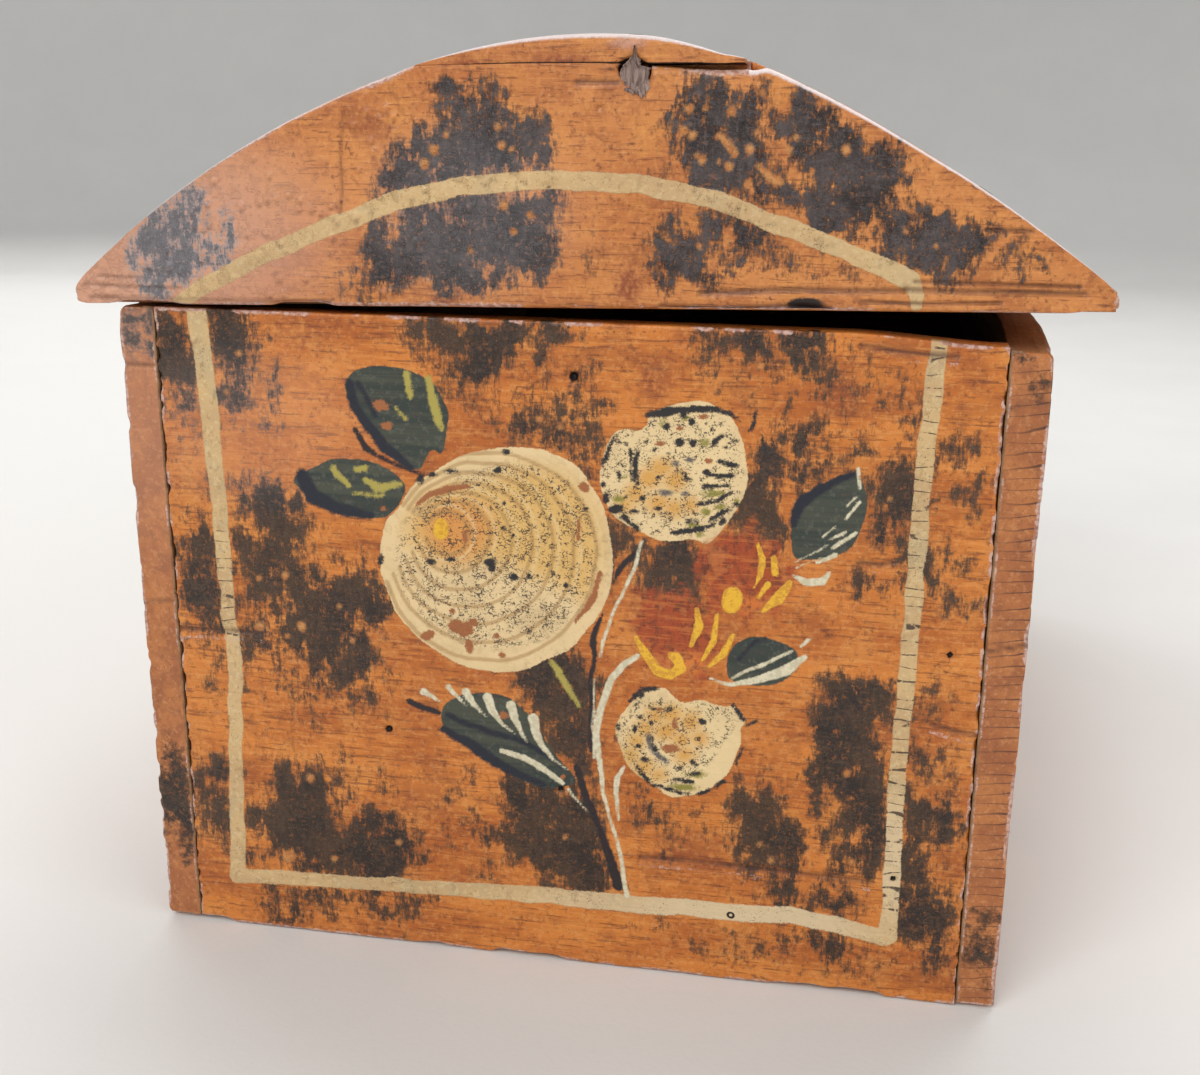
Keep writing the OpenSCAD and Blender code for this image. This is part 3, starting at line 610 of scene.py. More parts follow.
# drops of ground colour in the dark patches, as (u, v, radius)
CASE_DROPS = (
    (260, 577, 2.6), (286, 575, 3.4), (259, 628, 5), (302, 626, 4.6), (340, 607, 2.4), (323, 574, 2.2), (286, 637, 2.4),
    (290, 857, 6), (310, 778, 4), (334, 860, 3), (398, 842, 3), (216, 711, 3), (188, 478, 3.4), (846, 774, 3.4),
    (851, 862, 3), (772, 861, 3), (760, 845, 2.4), (760, 366, 3), (540, 420, 3), (560, 428, 2.4), (922, 846, 2.6),
    (565, 838, 2.4), (890, 500, 2.4), (352, 640, 2.6), (372, 668, 2.4), (240, 352, 3), (226, 392, 2.6),
)
LID_DROPS = (
    (689.5, 109.5, 4.6), (732, 112, 5), (684, 130, 4.6), (692, 135, 4.6), (750, 149.5, 5), (702, 160, 4.4),
    (729.5, 167, 4.8), (748, 185, 4.6), (847, 149.5, 5), (704, 110, 2.8), (697, 155, 3), (719, 162, 2.4), (757, 133, 3),
    (763, 92, 3), (790, 150, 4), (797, 138, 3.4), (433, 149, 5), (424, 163, 5.4), (502, 146, 4.6), (497, 126, 3.4),
    (446, 134, 3), (512, 150, 3), (505, 205, 5), (513, 232, 3.4), (470, 250, 2.6), (530, 214, 3.4), (812, 172, 2.6),
    (905, 232, 2.6), (936, 246, 2.6), (700, 246, 3), (728, 240, 3.4),
)


def paint_case_end(p):
    p.strokes(
        stripe=([(195, 300, 10), (205, 372, 9), (222, 535, 7.4), (235, 678, 7), (237, 800, 7.4), (238, 876, 7.8)],
                [(238, 876, 7.4), (330, 880, 6.6), (395, 885, 7), (538, 895, 8), (625, 903, 8.6), (700, 909, 8.4),
                 (790, 916, 8.4), (840, 926, 8), (884, 938, 8.6)],
                [(940, 338, 9), (923, 484, 9), (907, 678, 8.6), (894, 822, 8.4), (891, 905, 9), (887, 936, 10)]),
        cracked=([(940, 338, 6), (923, 484, 10), (907, 678, 16), (894, 822, 16), (890, 900, 14)],
                 [(222, 530, 5), (226, 580, 14), (230, 630, 8)]))
    paint_spray(p)
    p.smokes(CASE_SMOKE)
    # the glow on the upper left is a painted sheen
    p.glows(
        pale=((740, 920, 200, 60), (900, 860, 50, 90, 0.8), (620, 905, 160, 30, 0.5)),
        cool=((250, 425, 170, 110, 0.25),),
        tint=((300, 330, 60, 22, 0.5), (655, 382, 26, 34, 0.8), (838, 395, 24, 30, 0.6), (430, 800, 50, 26, 0.5),
              (465, 880, 30, 18, 0.4), (660, 615, 40, 40, 0.9), (560, 690, 30, 16, 0.4), (700, 850, 60, 30, 0.5),
              (375, 940, 60, 12, 0.5), (740, 400, 20, 14, 0.4), (390, 520, 10, 16, 0.8), (735, 545, 40, 14, 0.9)))
    for u, v, size in CASE_DROPS:
        p.dot("drop", u, v, size, size)


def paint_lid_end(p):
    p.strokes(
        stripe=([(180, 304, 8), (200, 288, 9), (270, 252, 9), (340, 223, 9.4), (396, 201, 9.6), (461, 185, 9.6),
                 (557, 179, 9.6), (637, 184, 9.4), (713, 200, 9.4), (790, 229, 9), (847, 252, 9), (885, 268, 10),
                 (910, 281, 11), (917, 295, 7), (916, 305, 6)],),
        drop=([(719, 136, 3), (727, 143, 3.4), (735, 153, 4)], [(758, 166, 2.5), (772, 178, 4), (782, 182, 3)]))
    p.smokes(LID_SMOKE)
    # the three pale glows are a painted sheen on the left flank, its tip and the middle
    p.glows(
        tint=((628, 283, 18, 24, 1.0), (445, 298, 16, 8, 1.0), (375, 130, 30, 24, 0.5), (340, 115, 40, 20, 0.3),
              (640, 90, 60, 40, 0.25)),
        cool=((165, 235, 230, 150), (110, 288, 130, 45, 1.1), (470, 210, 150, 120, 0.32)))
    for u, v, size in LID_DROPS:
        p.dot("drop", u, v, 0.9 * size, size)


# ---------------------------------------------------------------- materials
class Graph:
    """Short hand for building a node material."""

    def __init__(self, name):
        self.material = bpy.data.materials.new(name)
        self.material.use_nodes = True
        self.tree = self.material.node_tree
        self.tree.nodes.clear()
        self.shader = self.node("ShaderNodeBsdfPrincipled")
        self.node("ShaderNodeOutputMaterial", {"Surface": self.shader.outputs["BSDF"]})
        self.place = self.node("ShaderNodeTexCoord").outputs["Object"]

    def put(self, sockets, values):
        """Sets inputs by name or number, each to a constant or to a link."""
        for key, value in values.items():
            if isinstance(value, bpy.types.NodeSocket):
                self.tree.links.new(value, sockets[key])
            else:
                sockets[key].default_value = value

    def node(self, kind, values=None, **options):
        n = self.tree.nodes.new(kind)
        for key, value in options.items():
            setattr(n, key, value)
        self.put(n.inputs, values or {})
        return n

    def attr(self, name):
        return self.node("ShaderNodeAttribute", attribute_name=name).outputs["Fac"]

    def stretched(self, scale, offset=(0, 0, 0)):
        values = {"Vector": self.place, "Scale": scale, "Location": offset}
        return self.node("ShaderNodeMapping", values).outputs["Vector"]

    def noise(self, vector, scale, detail=3.0, rough=0.55, twist=0.0):
        values = {"Vector": vector, "Scale": scale, "Detail": detail, "Roughness": rough, "Distortion": twist}
        return self.node("ShaderNodeTexNoise", values).outputs["Fac"]

    def math(self, op, a, b=0.0, c=0.0):
        return self.node("ShaderNodeMath", {0: a, 1: b, 2: c}, operation=op).outputs["Value"]

    def step(self, value, lo, hi, out_lo=0.0, out_hi=1.0):
        """A smooth step from out_lo at lo to out_hi at hi."""
        values = {"Value": value, "From Min": lo, "From Max": hi, "To Min": out_lo, "To Max": out_hi}
        return self.node("ShaderNodeMapRange", values, interpolation_type="SMOOTHSTEP").outputs["Result"]

    def add(self, *values):
        total = values[0]
        for value in values[1:]:
            total = self.math("ADD", total, value)
        return total

    def times(self, a, b):
        return self.math("MULTIPLY", a, b)

    def swing(self, value, gain):
        """A noise value that swings about nought."""
        return self.math("MULTIPLY_ADD", value, gain, -gain / 2)

    def toned(self, base, *tones):
        """The base colour with other tones, each of which comes in where its value runs from lo to hi."""
        for value, lo, hi, most, tone in tones:
            base = self.mix(self.step(value, lo, hi, 0.0, most), base, tone)
        return base

    def mix(self, share, a, b):
        a, b = (value + (1.0,) if isinstance(value, tuple) else value for value in (a, b))
        return self.node("ShaderNodeMix", {0: share, 6: a, 7: b}, data_type="RGBA").outputs[2]

    def bump(self, height, distance, strength):
        values = {"Height": height, "Distance": distance, "Strength": strength}
        return self.node("ShaderNodeBump", values).outputs["Normal"]

    def finish(self, colour, roughness, normal, metal=0.0, coat=0.0, shine=0.5):
        self.put(self.shader.inputs, {
            "Base Color": colour, "Roughness": roughness, "Normal": normal, "Metallic": metal,
            "Specular IOR Level": shine, "Coat Weight": coat, "Coat Roughness": 0.3})
        return self.material


# how much finer noise is along each axis, for grain along X and along Y
ALONG_X = (10.0, 300.0, 300.0)
ALONG_Y = (300.0, 10.0, 300.0)
BARE_DARK = (0.15, 0.075, 0.032)
BARE_LIGHT = (0.3, 0.165, 0.075)
WARM, DEEP = (0.62, 0.205, 0.034), (0.44, 0.118, 0.018)
LID_WARM, LID_DEEP = (0.59, 0.225, 0.064), (0.48, 0.16, 0.042)
SOOT = ((0.019, 0.014, 0.012), (0.050, 0.028, 0.016))
LID_SOOT = ((0.018, 0.016, 0.018), (0.055, 0.046, 0.047))
SHEEN_COLOUR = (0.61, 0.325, 0.22)


def painted(name, grain, shift, warm=WARM, deep=DEEP, soot=SOOT, flowers=True, strips=False):
    """Old painted and varnished softwood; what is painted where comes from the point attributes."""
    g = Graph(name)

    def along(slow, fast):
        return g.stretched(tuple(slow if s < 100 else fast for s in grain), shift)

    place = g.stretched((1, 1, 1), shift)
    axis = g.node("ShaderNodeSeparateXYZ", {"Vector": place})
    level = axis.outputs["Z"]
    fine = g.noise(place, 900, 4, 0.6)
    finer = g.noise(place, 2600, 3, 0.6)
    edge = g.add(g.swing(fine, 0.55), g.swing(finer, 0.35))
    streak = g.noise(along(10, 300), 1.0, 5, 0.65, 0.4)
    hair = g.noise(along(110, 1500), 1.0, 3, 0.6)
    mottle = g.noise(along(22, 60), 1.0, 5, 0.62)
    blush = g.noise(place, 80, 4, 0.62)
    blotch = g.noise(place, 210, 5, 0.66)
    dirt = g.noise(place, 430, 4, 0.7)
    brushed = g.noise(along(300, 1100), 1.0, 4, 0.7)
    dabbed = g.noise(along(1100, 330), 1.0, 4, 0.7)
    cool = g.attr("cool")

    # ground: orange over the grain, deeper and dirtier in places, with dark threads along the grain
    ground = g.toned(
        g.mix(g.step(mottle, 0.40, 0.62), warm, deep), (blush, 0.52, 0.64, 0.4, (0.66, 0.27, 0.06)),
        (blush, 0.46, 0.36, 0.4, (0.30, 0.08, 0.02)), (streak, 0.50, 0.64, 0.28, (0.28, 0.072, 0.018)),
        (hair, 0.575, 0.65, 0.65, (0.16, 0.048, 0.016)), (hair, 0.45, 0.36, 0.3, (0.74, 0.33, 0.09)),
        (dirt, 0.53, 0.64, 0.4, (0.22, 0.058, 0.022)), (fine, 0.46, 0.38, 0.25, (0.75, 0.36, 0.12)))
    fleck = g.times(g.step(fine, 0.57, 0.64, 0.0, 0.6), g.step(blotch, 0.47, 0.57))
    ground = g.mix(fleck, ground, (0.11, 0.036, 0.016))
    ground = g.mix(g.times(g.attr("tint"), g.step(fine, 0.4, 0.56, 0.3, 0.75)), ground, (0.20, 0.038, 0.018))
    # a pale painted sheen over the ground in places
    ground = g.mix(g.times(cool, 0.8), ground, SHEEN_COLOUR)

    # end grain of a board, with the lines of its rings
    if strips:
        bend = g.noise(g.stretched((26, 26, 110), shift), 1.0, 3)
        phase = g.add(g.times(level, 2400.0), g.times(axis.outputs["X"], -290.0), g.swing(bend, 16.0))
        rings = g.times(g.step(g.math("SINE", phase), 0.90, 0.985), g.attr("rings"))
        end = g.toned(
            g.mix(g.step(blush, 0.42, 0.6), (0.46, 0.168, 0.052), (0.37, 0.125, 0.042)),
            (blotch, 0.47, 0.6, 0.5, (0.26, 0.085, 0.035)), (fine, 0.46, 0.38, 0.35, (0.62, 0.29, 0.12)),
            (brushed, 0.54, 0.66, 0.5, (0.20, 0.07, 0.03)))
        end = g.mix(rings, end, (0.085, 0.034, 0.022))
        # the same pale painted sheen over the end grain
        end = g.mix(g.times(cool, 0.8), end, SHEEN_COLOUR)
        ground = g.mix(g.attr("end_grain"), ground, end)

    # smoky dabbed patches: a thin brown stain, and a dark core that lets some of the ground through
    smoke = g.attr("smoke")
    ragged = g.add(smoke, g.swing(blotch, 1.9), g.swing(brushed, 0.9), g.swing(dabbed, 1.9), g.times(edge, 0.8))
    within = g.step(smoke, 0.03, 0.2)
    stain = g.times(g.step(ragged, 0.14, 0.56, 0.0, 0.8), within)
    core = g.times(g.times(g.step(ragged, 0.42, 0.78, 0.0, 0.96), within), g.step(fine, 0.63, 0.60, 0.4, 1.0))
    glint, pitch = tuple(1.8 * c for c in soot[1]), tuple(0.6 * c for c in soot[0])
    black = g.toned(g.mix(g.step(blush, 0.43, 0.57), *soot), (brushed, 0.52, 0.63, 0.6, glint),
                    (dabbed, 0.53, 0.62, 0.45, glint), (dabbed, 0.47, 0.39, 0.5, pitch))
    # a grey-blue painted sheen over the dark patches, with a greyer stain under it
    black = g.mix(g.times(cool, 0.85), black, (0.165, 0.16, 0.175))
    thin = g.mix(cool, (0.15, 0.058, 0.022), (0.36, 0.295, 0.29))
    colour = g.mix(core, g.mix(stain, ground, thin), black)

    def layer(attribute, below, paint, width=0.07, ragged_by=0.5, at=0.5):
        mask = g.step(g.math("MULTIPLY_ADD", edge, ragged_by, g.attr(attribute)), at - width, at + width)
        return g.mix(mask, below, paint), mask

    bead = g.mix(g.step(fine, 0.42, 0.58), (0.56, 0.26, 0.085), (0.46, 0.17, 0.045))
    colour, _ = layer("drop", colour, bead, 0.2, 1.1)

    # leaves and stems
    if flowers:
        green = g.toned(
            g.mix(g.step(streak, 0.44, 0.6), (0.030, 0.040, 0.034), (0.058, 0.066, 0.046)),
            (fine, 0.53, 0.63, 0.5, (0.11, 0.115, 0.09)), (dirt, 0.55, 0.64, 0.5, (0.075, 0.05, 0.035)))
        colour, _ = layer("leaf", colour, green)
        colour, _ = layer("ink", colour, (0.013, 0.016, 0.026), 0.16, 0.8)
        colour, _ = layer("stem", colour, (0.022, 0.014, 0.016), 0.1)

    # stripes; fine cracks cross the upright ones
    calm = 1.0 if flowers else 0.7
    wander = g.noise(g.stretched((30, 30, 130), shift), 1.0, 2)
    split = g.math("SINE", g.add(g.times(level, 1900.0), g.swing(wander, 22.0)))
    cracks = g.times(g.step(split, 0.93, 0.985), g.step(g.attr("cracked"), 0.4, 0.6))
    cracks = g.times(cracks, g.step(dirt, 0.44, 0.5, 0.1, 0.95))
    pits = g.times(g.step(finer, 0.6, 0.66, 0.0, calm), g.step(blotch, 0.49, 0.57))
    cream_line = g.toned(
        g.mix(g.step(mottle, 0.4, 0.6), (0.61, 0.415, 0.20), (0.54, 0.36, 0.178)),
        (blush, 0.52, 0.64, 0.4 * calm, (0.45, 0.37, 0.22)), (dirt, 0.53, 0.63, 0.5 * calm, (0.37, 0.23, 0.10)),
        (fine, 0.47, 0.39, 0.45 * calm, (0.70, 0.55, 0.30)))
    cream_line = g.mix(g.times(g.attr("pale"), 0.8), cream_line, (0.69, 0.55, 0.35))
    cream_line = g.mix(g.math("MAXIMUM", cracks, pits), cream_line, (0.07, 0.045, 0.03))
    colour, stripe = layer("stripe", colour, cream_line, 0.06, 0.6)
    paint = stripe

    # flowers: cream, yellower inside, ringed, and freckled with black
    if flowers:
        cream = g.toned(
            g.mix(g.step(blush, 0.42, 0.6), (0.76, 0.565, 0.305), (0.67, 0.49, 0.26)),
            (dirt, 0.53, 0.63, 0.35, (0.52, 0.36, 0.18)))
        cream = g.mix(g.times(g.attr("ochre"), 0.85), cream, (0.68, 0.405, 0.115))
        cream = g.mix(g.times(g.attr("orange"), 0.75), cream, (0.64, 0.24, 0.05))
        # the rings: pale lines lightened as painted highlight on raised ridges, and darker lines of paint
        cream = g.toned(cream, (g.attr("pale_ring"), 0.4, 0.62, 0.6, (0.74, 0.56, 0.29)),
                        (g.attr("dark_ring"), 0.42, 0.58, 0.62, (0.39, 0.225, 0.08)))
        mark = g.noise(g.stretched((1.0, 1.0, 1.4), shift), 950, 2, 0.5)
        petal = g.mix(g.times(g.attr("ochre"), 0.95), (0.79, 0.605, 0.325), (0.64, 0.30, 0.05))
        cream = g.mix(g.times(g.attr("pale"), 0.75), cream, petal)
        mark = g.step(g.math("ABSOLUTE", g.math("SUBTRACT", mark, 0.5)), 0.054, 0.024)
        crowd = g.step(g.attr("speck"), 0.9, 1.5, 0.0, -0.02)
        mark = g.times(mark, g.step(g.add(dirt, crowd), 0.485, 0.54))
        dots = g.times(g.step(finer, 0.57, 0.61), g.step(g.add(blotch, crowd), 0.475, 0.545))
        freckle = g.times(g.math("MAXIMUM", mark, dots), g.step(g.attr("speck"), 0.2, 0.8, 0.0, 0.95))
        cream = g.mix(freckle, cream, (0.045, 0.034, 0.03))
        colour, flower = layer("cream", colour, cream, 0.05, 0.6)
        bud = g.toned(
            g.mix(g.attr("orange"), (0.36, 0.06, 0.014), (0.66, 0.18, 0.03)),
            (dirt, 0.49, 0.59, 0.75, (0.13, 0.028, 0.013)), (dabbed, 0.53, 0.62, 0.5, (0.11, 0.026, 0.013)),
            (hair, 0.48, 0.40, 0.5, (0.58, 0.17, 0.035)), (blotch, 0.46, 0.38, 0.4, (0.60, 0.22, 0.06)))
        blood = g.add(g.times(edge, 1.2), g.attr("red"), g.swing(blotch, 1.6), g.swing(brushed, 0.8))
        blood = g.times(g.step(blood, 0.25, 0.85, 0.0, 0.92), g.step(g.attr("red"), 0.02, 0.15))
        colour = g.mix(blood, colour, bud)
        colour, _ = layer("rust", colour, (0.34, 0.12, 0.04), 0.08, 0.9)
        colour, _ = layer("olive", colour, (0.25, 0.22, 0.04), 0.16, 1.2)
        colour, _ = layer("lime", colour, (0.40, 0.33, 0.075), 0.14, 1.0)
        gold = g.mix(g.step(fine, 0.47, 0.57), (0.78, 0.44, 0.03), (0.62, 0.30, 0.03))
        colour, yellow = layer("yellow", colour, gold, 0.06, 0.7, 0.53)
        colour, _ = layer("grey", colour, (0.12, 0.105, 0.10), 0.16, 0.9)
        pale = g.mix(g.step(fine, 0.42, 0.58), (0.57, 0.51, 0.35), (0.70, 0.64, 0.46))
        colour, white = layer("white", colour, pale, 0.08, 0.4, 0.54)
        colour, _ = layer("black", colour, (0.022, 0.019, 0.02), 0.1, 0.9)
        paint = g.add(stripe, flower, white, yellow, g.times(g.attr("pale_ring"), 0.9))
        cracks = g.math("MAXIMUM", freckle, cracks)

    # wear: paint rubbed off along the edges, a painted highlight along the top rims, dirt and painted shade in cracks
    # and under lumps, bare wood inside
    rub = g.step(g.math("MULTIPLY_ADD", edge, 1.3, g.attr("worn")), 0.38, 0.62, 0.0, 0.85)
    colour = g.mix(rub, colour, g.mix(g.step(fine, 0.4, 0.6), (0.34, 0.165, 0.125), (0.62, 0.42, 0.36)))
    # a near-white painted highlight along the lid's top rims
    rim = g.step(g.math("MULTIPLY_ADD", edge, 0.5, g.attr("rim")), 0.25, 0.75, 0.0, 0.9)
    colour = g.mix(rim, colour, (0.80, 0.70, 0.69))
    # dirt and painted shade in the cracks, and painted shade at the foot of the lumps
    colour = g.mix(g.times(g.attr("groove"), 0.95), colour, (0.06, 0.026, 0.02))
    bare = g.mix(g.step(streak, 0.35, 0.65), BARE_LIGHT, BARE_DARK)
    colour = g.mix(g.attr("inside"), colour, bare)
    # near-black painted shade in holes, dents, the torn place and the split, and bare iron on the rubbed nail head
    hole = g.step(g.math("MULTIPLY_ADD", edge, 0.5, g.attr("hollow")), 0.36, 0.62)
    colour = g.mix(hole, colour, (0.016, 0.010, 0.009))

    crust = g.times(g.math("MAXIMUM", core, g.times(cool, 0.8)), g.step(dirt, 0.47, 0.63))
    relief = g.add(g.times(streak, 0.35), g.times(hair, 0.3), g.times(fine, 0.35), g.times(blotch, 0.7),
                   g.times(paint, 0.22), g.times(cracks, -0.2), g.times(crust, 0.4 if flowers else 0.8))
    gloss = g.add(g.step(fine, 0.4, 0.6, 0.34, 0.5), g.times(g.attr("inside"), 0.3), g.times(core, -0.08))
    return g.finish(colour, gloss, g.bump(relief, 0.0005, 0.75), 0.0, 0.1, 0.36)


def bare_wood(name, grain, shift, light=BARE_LIGHT, dark=BARE_DARK):
    """Old unpainted softwood with dirt in its grain."""
    g = Graph(name)
    streak = g.noise(g.stretched(grain, shift), 1.0, 5, 0.65, 0.5)
    hair = g.noise(g.stretched(tuple(4 * s for s in grain), shift), 1.0, 3)
    dirt = g.noise(g.stretched((1, 1, 1), shift), 35, 5, 0.65)
    colour = g.mix(g.step(streak, 0.35, 0.65), light, dark)
    colour = g.mix(g.step(hair, 0.52, 0.7, 0.0, 0.6), colour, (0.09, 0.045, 0.02))
    colour = g.mix(g.step(dirt, 0.5, 0.7, 0.0, 0.65), colour, (0.07, 0.042, 0.025))
    relief = g.add(g.times(streak, 0.6), g.times(hair, 0.4))
    return g.finish(colour, g.step(dirt, 0.3, 0.7, 0.6, 0.8), g.bump(relief, 0.0006, 0.8))


def old_iron(name):
    """Dark iron with rust and pits."""
    g = Graph(name)
    place = g.stretched((1, 1, 1))
    rust = g.noise(place, 260, 5, 0.65)
    pits = g.noise(place, 1400, 3, 0.6)
    colour = g.mix(g.step(rust, 0.45, 0.65), (0.035, 0.03, 0.028), (0.13, 0.052, 0.022))
    colour = g.mix(g.step(pits, 0.55, 0.72, 0.0, 0.6), colour, (0.06, 0.05, 0.045))
    relief = g.add(g.times(rust, 0.6), g.times(pits, 0.5))
    return g.finish(colour, g.step(rust, 0.35, 0.65, 0.42, 0.75), g.bump(relief, 0.0004, 0.8), 0.55)


END_NEAR = painted("paint_case_near", ALONG_X, (0, 0, 0))
END_FAR = painted("paint_case_far", ALONG_X, (0.7, 0.2, 0.4))
LID_NEAR = painted("paint_lid_near", ALONG_X, (0.3, 0.5, 0.9), LID_WARM, LID_DEEP, LID_SOOT, flowers=False)
LID_FAR = painted("paint_lid_far", ALONG_X, (1.3, 0.2, 0.1), flowers=False)
SIDE = painted("paint_long_boards", ALONG_Y, (0.1, 0.9, 0.2), strips=True)
LID_TOP = painted("paint_lid_boards", ALONG_Y, (0.6, 0.4, 0.8), flowers=False)
INSIDE_X = bare_wood("bare_wood_across", ALONG_X, (0.2, 0.1, 0.3))
INSIDE_Y = bare_wood("bare_wood_along", ALONG_Y, (0.5, 0.3, 0.1))
TORN_WOOD = bare_wood("torn_wood", (1300.0, 1300.0, 110.0), (0, 0, 0), (0.36, 0.265, 0.23), (0.13, 0.08, 0.066))
IRON = old_iron("old_iron")

# ---------------------------------------------------------------- case boards
HALF_W, HALF_L, CASE_H, BOARD = 105.0, 165.0, 157.5, 9.0
IN_W = 2 * (HALF_W - BOARD)
SEAM = 0.06
# how deep in a board its bare inner face starts
INNER_FACE = 8.5
# the painting on the long walls and the lid boards, in pixels: to a millimetre along a board and up a wall, the middle
# and the reach along Y, the foot of a wall, the top of a lid board, and half the width of a stripe
PX_PER_MM, WALL_PX_PER_MM = 4.4, 4.0
MIDDLE_U, BOARD_U, WALL_FOOT_V, PLANK_TOP_V, STRIPE = 580, (-140, 1300), 945, 100, 8


def scatter_smoke(p, seed, area, count, size):
    """Sponged patches spread by chance, but the same on every run."""
    rng = np.random.default_rng(seed)
    for _ in range(count):
        cu, cv = rng.uniform(area[0], area[2]), rng.uniform(area[1], area[3])
        turns = np.sort(rng.uniform(0, 2 * math.pi, 9))
        reach = rng.uniform(0.45, 1.1, 9) * rng.uniform(*size)
        tall = rng.uniform(0.6, 1.3)
        p.smoke(np.stack((cu + reach * np.cos(turns), cv + tall * reach * np.sin(turns)), -1), rng.uniform(0.6, 1.0))
        for du, dv, radius in rng.uniform((-20, -20, 1), (20, 20, 5), (2, 3)):
            p.dot("drop", cu + du, cv + dv, radius, radius)


def wear(co, size, seed, width=1.6, least=0.2, cell=26):
    """How rubbed each point is: most along the edges of the block, in patches of about one cell."""
    near = np.minimum(co, np.asarray(size) - co)
    second = np.sort(near, axis=1)[:, 1]
    patch = ease(rough(co + 90.0 * seed, cell, seed), 0.36, 0.62)
    return np.clip(1 - second / width, 0, 1) * (least + (1 - least) * patch)


def groove(u, v, pts, width):
    """1 along a crack, 0 away from it."""
    at = [(a, b, width) for a, b in pts]
    return np.clip(stroke_depth(u, v, at) / width, 0, 1)


# holes as (u, v, radius), and cracks as lines, in pixels of the photograph's frame
HOLES = ((573, 377, 5.4), (388, 730, 4.0), (950, 656, 3.6), (560, 790, 3.0), (893, 880, 3.0))
CASE_CRACKS = (
    [(640, 857), (690, 861), (740, 867), (790, 873), (870, 882)],
    [(860, 345), (900, 352), (958, 357)],
    [(858, 562), (880, 565), (896, 562)],
    [(930, 724), (955, 732), (975, 735)],
    [(175, 628), (232, 631), (262, 633)],
)


def paint_far_end(p):
    p.strokes(stripe=([(195, 300, 9), (222, 535, 8), (236, 700, 8), (239, 872, 8)],
                      [(239, 872, 8), (395, 885, 8), (625, 903, 8), (884, 930, 8)],
                      [(940, 338, 8), (923, 484, 8), (907, 678, 8), (889, 930, 8)]))
    paint_spray(p)
    scatter_smoke(p, 11, (160, 330, 970, 950), 30, (28, 84))


END_DEPTHS = np.array((0, 0.3, 0.7, 1.3, 2.2, 4, 6.5, 8, 8.6, 9))


def end_board(near):
    """An end wall; its inner face is one polygon."""
    size = (IN_W - 2 * SEAM, CASE_H, BOARD)
    fine = 0.62 if near else 0.75
    co, faces = block(lines(size[0], fine), lines(size[1], fine), END_DEPTHS, True)
    seed = 3 if near else 40
    r = np.where(np.minimum(co[:, 0], size[0] - co[:, 0]) < 3, 0.1 + 0.35 * rough(co, 5, seed) ** 2,
                 0.35 + 0.75 * rough(co, 9, seed) ** 2)
    flat = co[:, 2] < 0.1
    worn = wear(co, size, seed + 5, 1.5, 0.0, 4.5)
    co = rounded(co, size, r)
    across, up, deep = co.T
    # uneven planing, ragged side edges and a chipped lower edge
    deep = deep + 0.22 * (rough(co, (60, 14, 60), seed + 1) - 0.5) * (deep < 2)
    side = np.minimum(across, size[0] - across)
    nick = ease(rough(np.stack((across * 0, up, deep), -1), (1, 3.2, 6), seed + 2), 0.56, 0.72)
    front = np.clip(1 - deep / 1.6, 0, 1)
    deep = deep + 0.8 * nick * np.clip(1 - side / 0.9, 0, 1) * front
    bite = ease(rough_along(1, up, 2.4, seed + 4), 0.42, 0.72)
    across = across + 0.45 * bite * np.clip(1 - side / 1.3, 0, 1) * front * np.sign(size[0] / 2 - across)
    chip = ease(rough_along(0, across, 17, seed + 3), 0.5, 0.68)
    up = up + 1.1 * chip * np.clip(1 - up / 2.2, 0, 1)
    x = -IN_W / 2 + SEAM + across
    y = -HALF_L + deep if near else HALF_L - deep
    if near:
        # the upper edge dips at the right
        up = up - 1.8 * ease(x, 62, 96) * ease(up, 120, CASE_H)
    world = np.stack((x, y, up), -1)
    u, v = to_photo(world if near else world * (-1, -1, 1))
    p = Paint(np.where(deep < 2.5, u, OFF_PICTURE), v, seed)
    hollow, soft = np.zeros(len(co)), np.zeros(len(co))
    if near:
        paint_case_end(p)
        # holes are sunk and filled with near-black painted shade
        for hu, hv, hr in HOLES:
            pit = np.clip(1.25 - np.hypot(u - hu, v - hv) / hr, 0, 1) * flat
            world[:, 1] += 2.2 * pit
            hollow = np.maximum(hollow, pit * 1.4)
        # cracks are sunk and darkened with dirt and painted shade, with a pale painted highlight along the lip below
        # each
        for crack in CASE_CRACKS:
            cut = groove(u, v, crack, 4.0) * flat * (0.5 + 0.5 * noise(world, 7, 9))
            world[:, 1] += 0.8 * cut
            soft = np.maximum(soft, cut)
            worn = np.maximum(worn, 0.62 * groove(u, v - 8, crack, 7.0) * flat * (0.3 + 0.7 * noise(world, 9, 10)))
        foot = np.clip(1 - co[:, 1] / 1.3, 0, 1) * (1 - ease(u, 400, 560))
        worn = np.maximum(worn, foot * (0.4 + 0.9 * noise(world, 11, 12)))
    else:
        paint_far_end(p)
    inside = (co[:, 2] > INNER_FACE).astype(float)
    p.layers.update(worn=worn * (co[:, 2] < 4), hollow=hollow, groove=soft, inside=inside)
    name, material = ("end_panel_near", END_NEAR) if near else ("end_panel_far", END_FAR)
    return piece(name, world, faces, material, "case", ["end_board_near" if near else "end_board_far"],
                 p.layers)


# cracks across the end grain of the long walls, in pixels of the photograph's frame
STRIP_CRACKS = (
    [(112, 362), (152, 366)], [(145, 602), (180, 600)], [(163, 832), (198, 834)],
    [(1006, 412), (1022, 405), (1046, 404)], [(985, 652), (1003, 650), (1030, 645)],
)
# grid lines along a long wall: those near its ends, and the stretch that carries the spray on the front
WALL_ENDS = np.array((0, 0.3, 0.7, 1.2, 1.8, 2.6, 3.6, 5, 7))
SPRAY_START, SPRAY_END = 95, 237


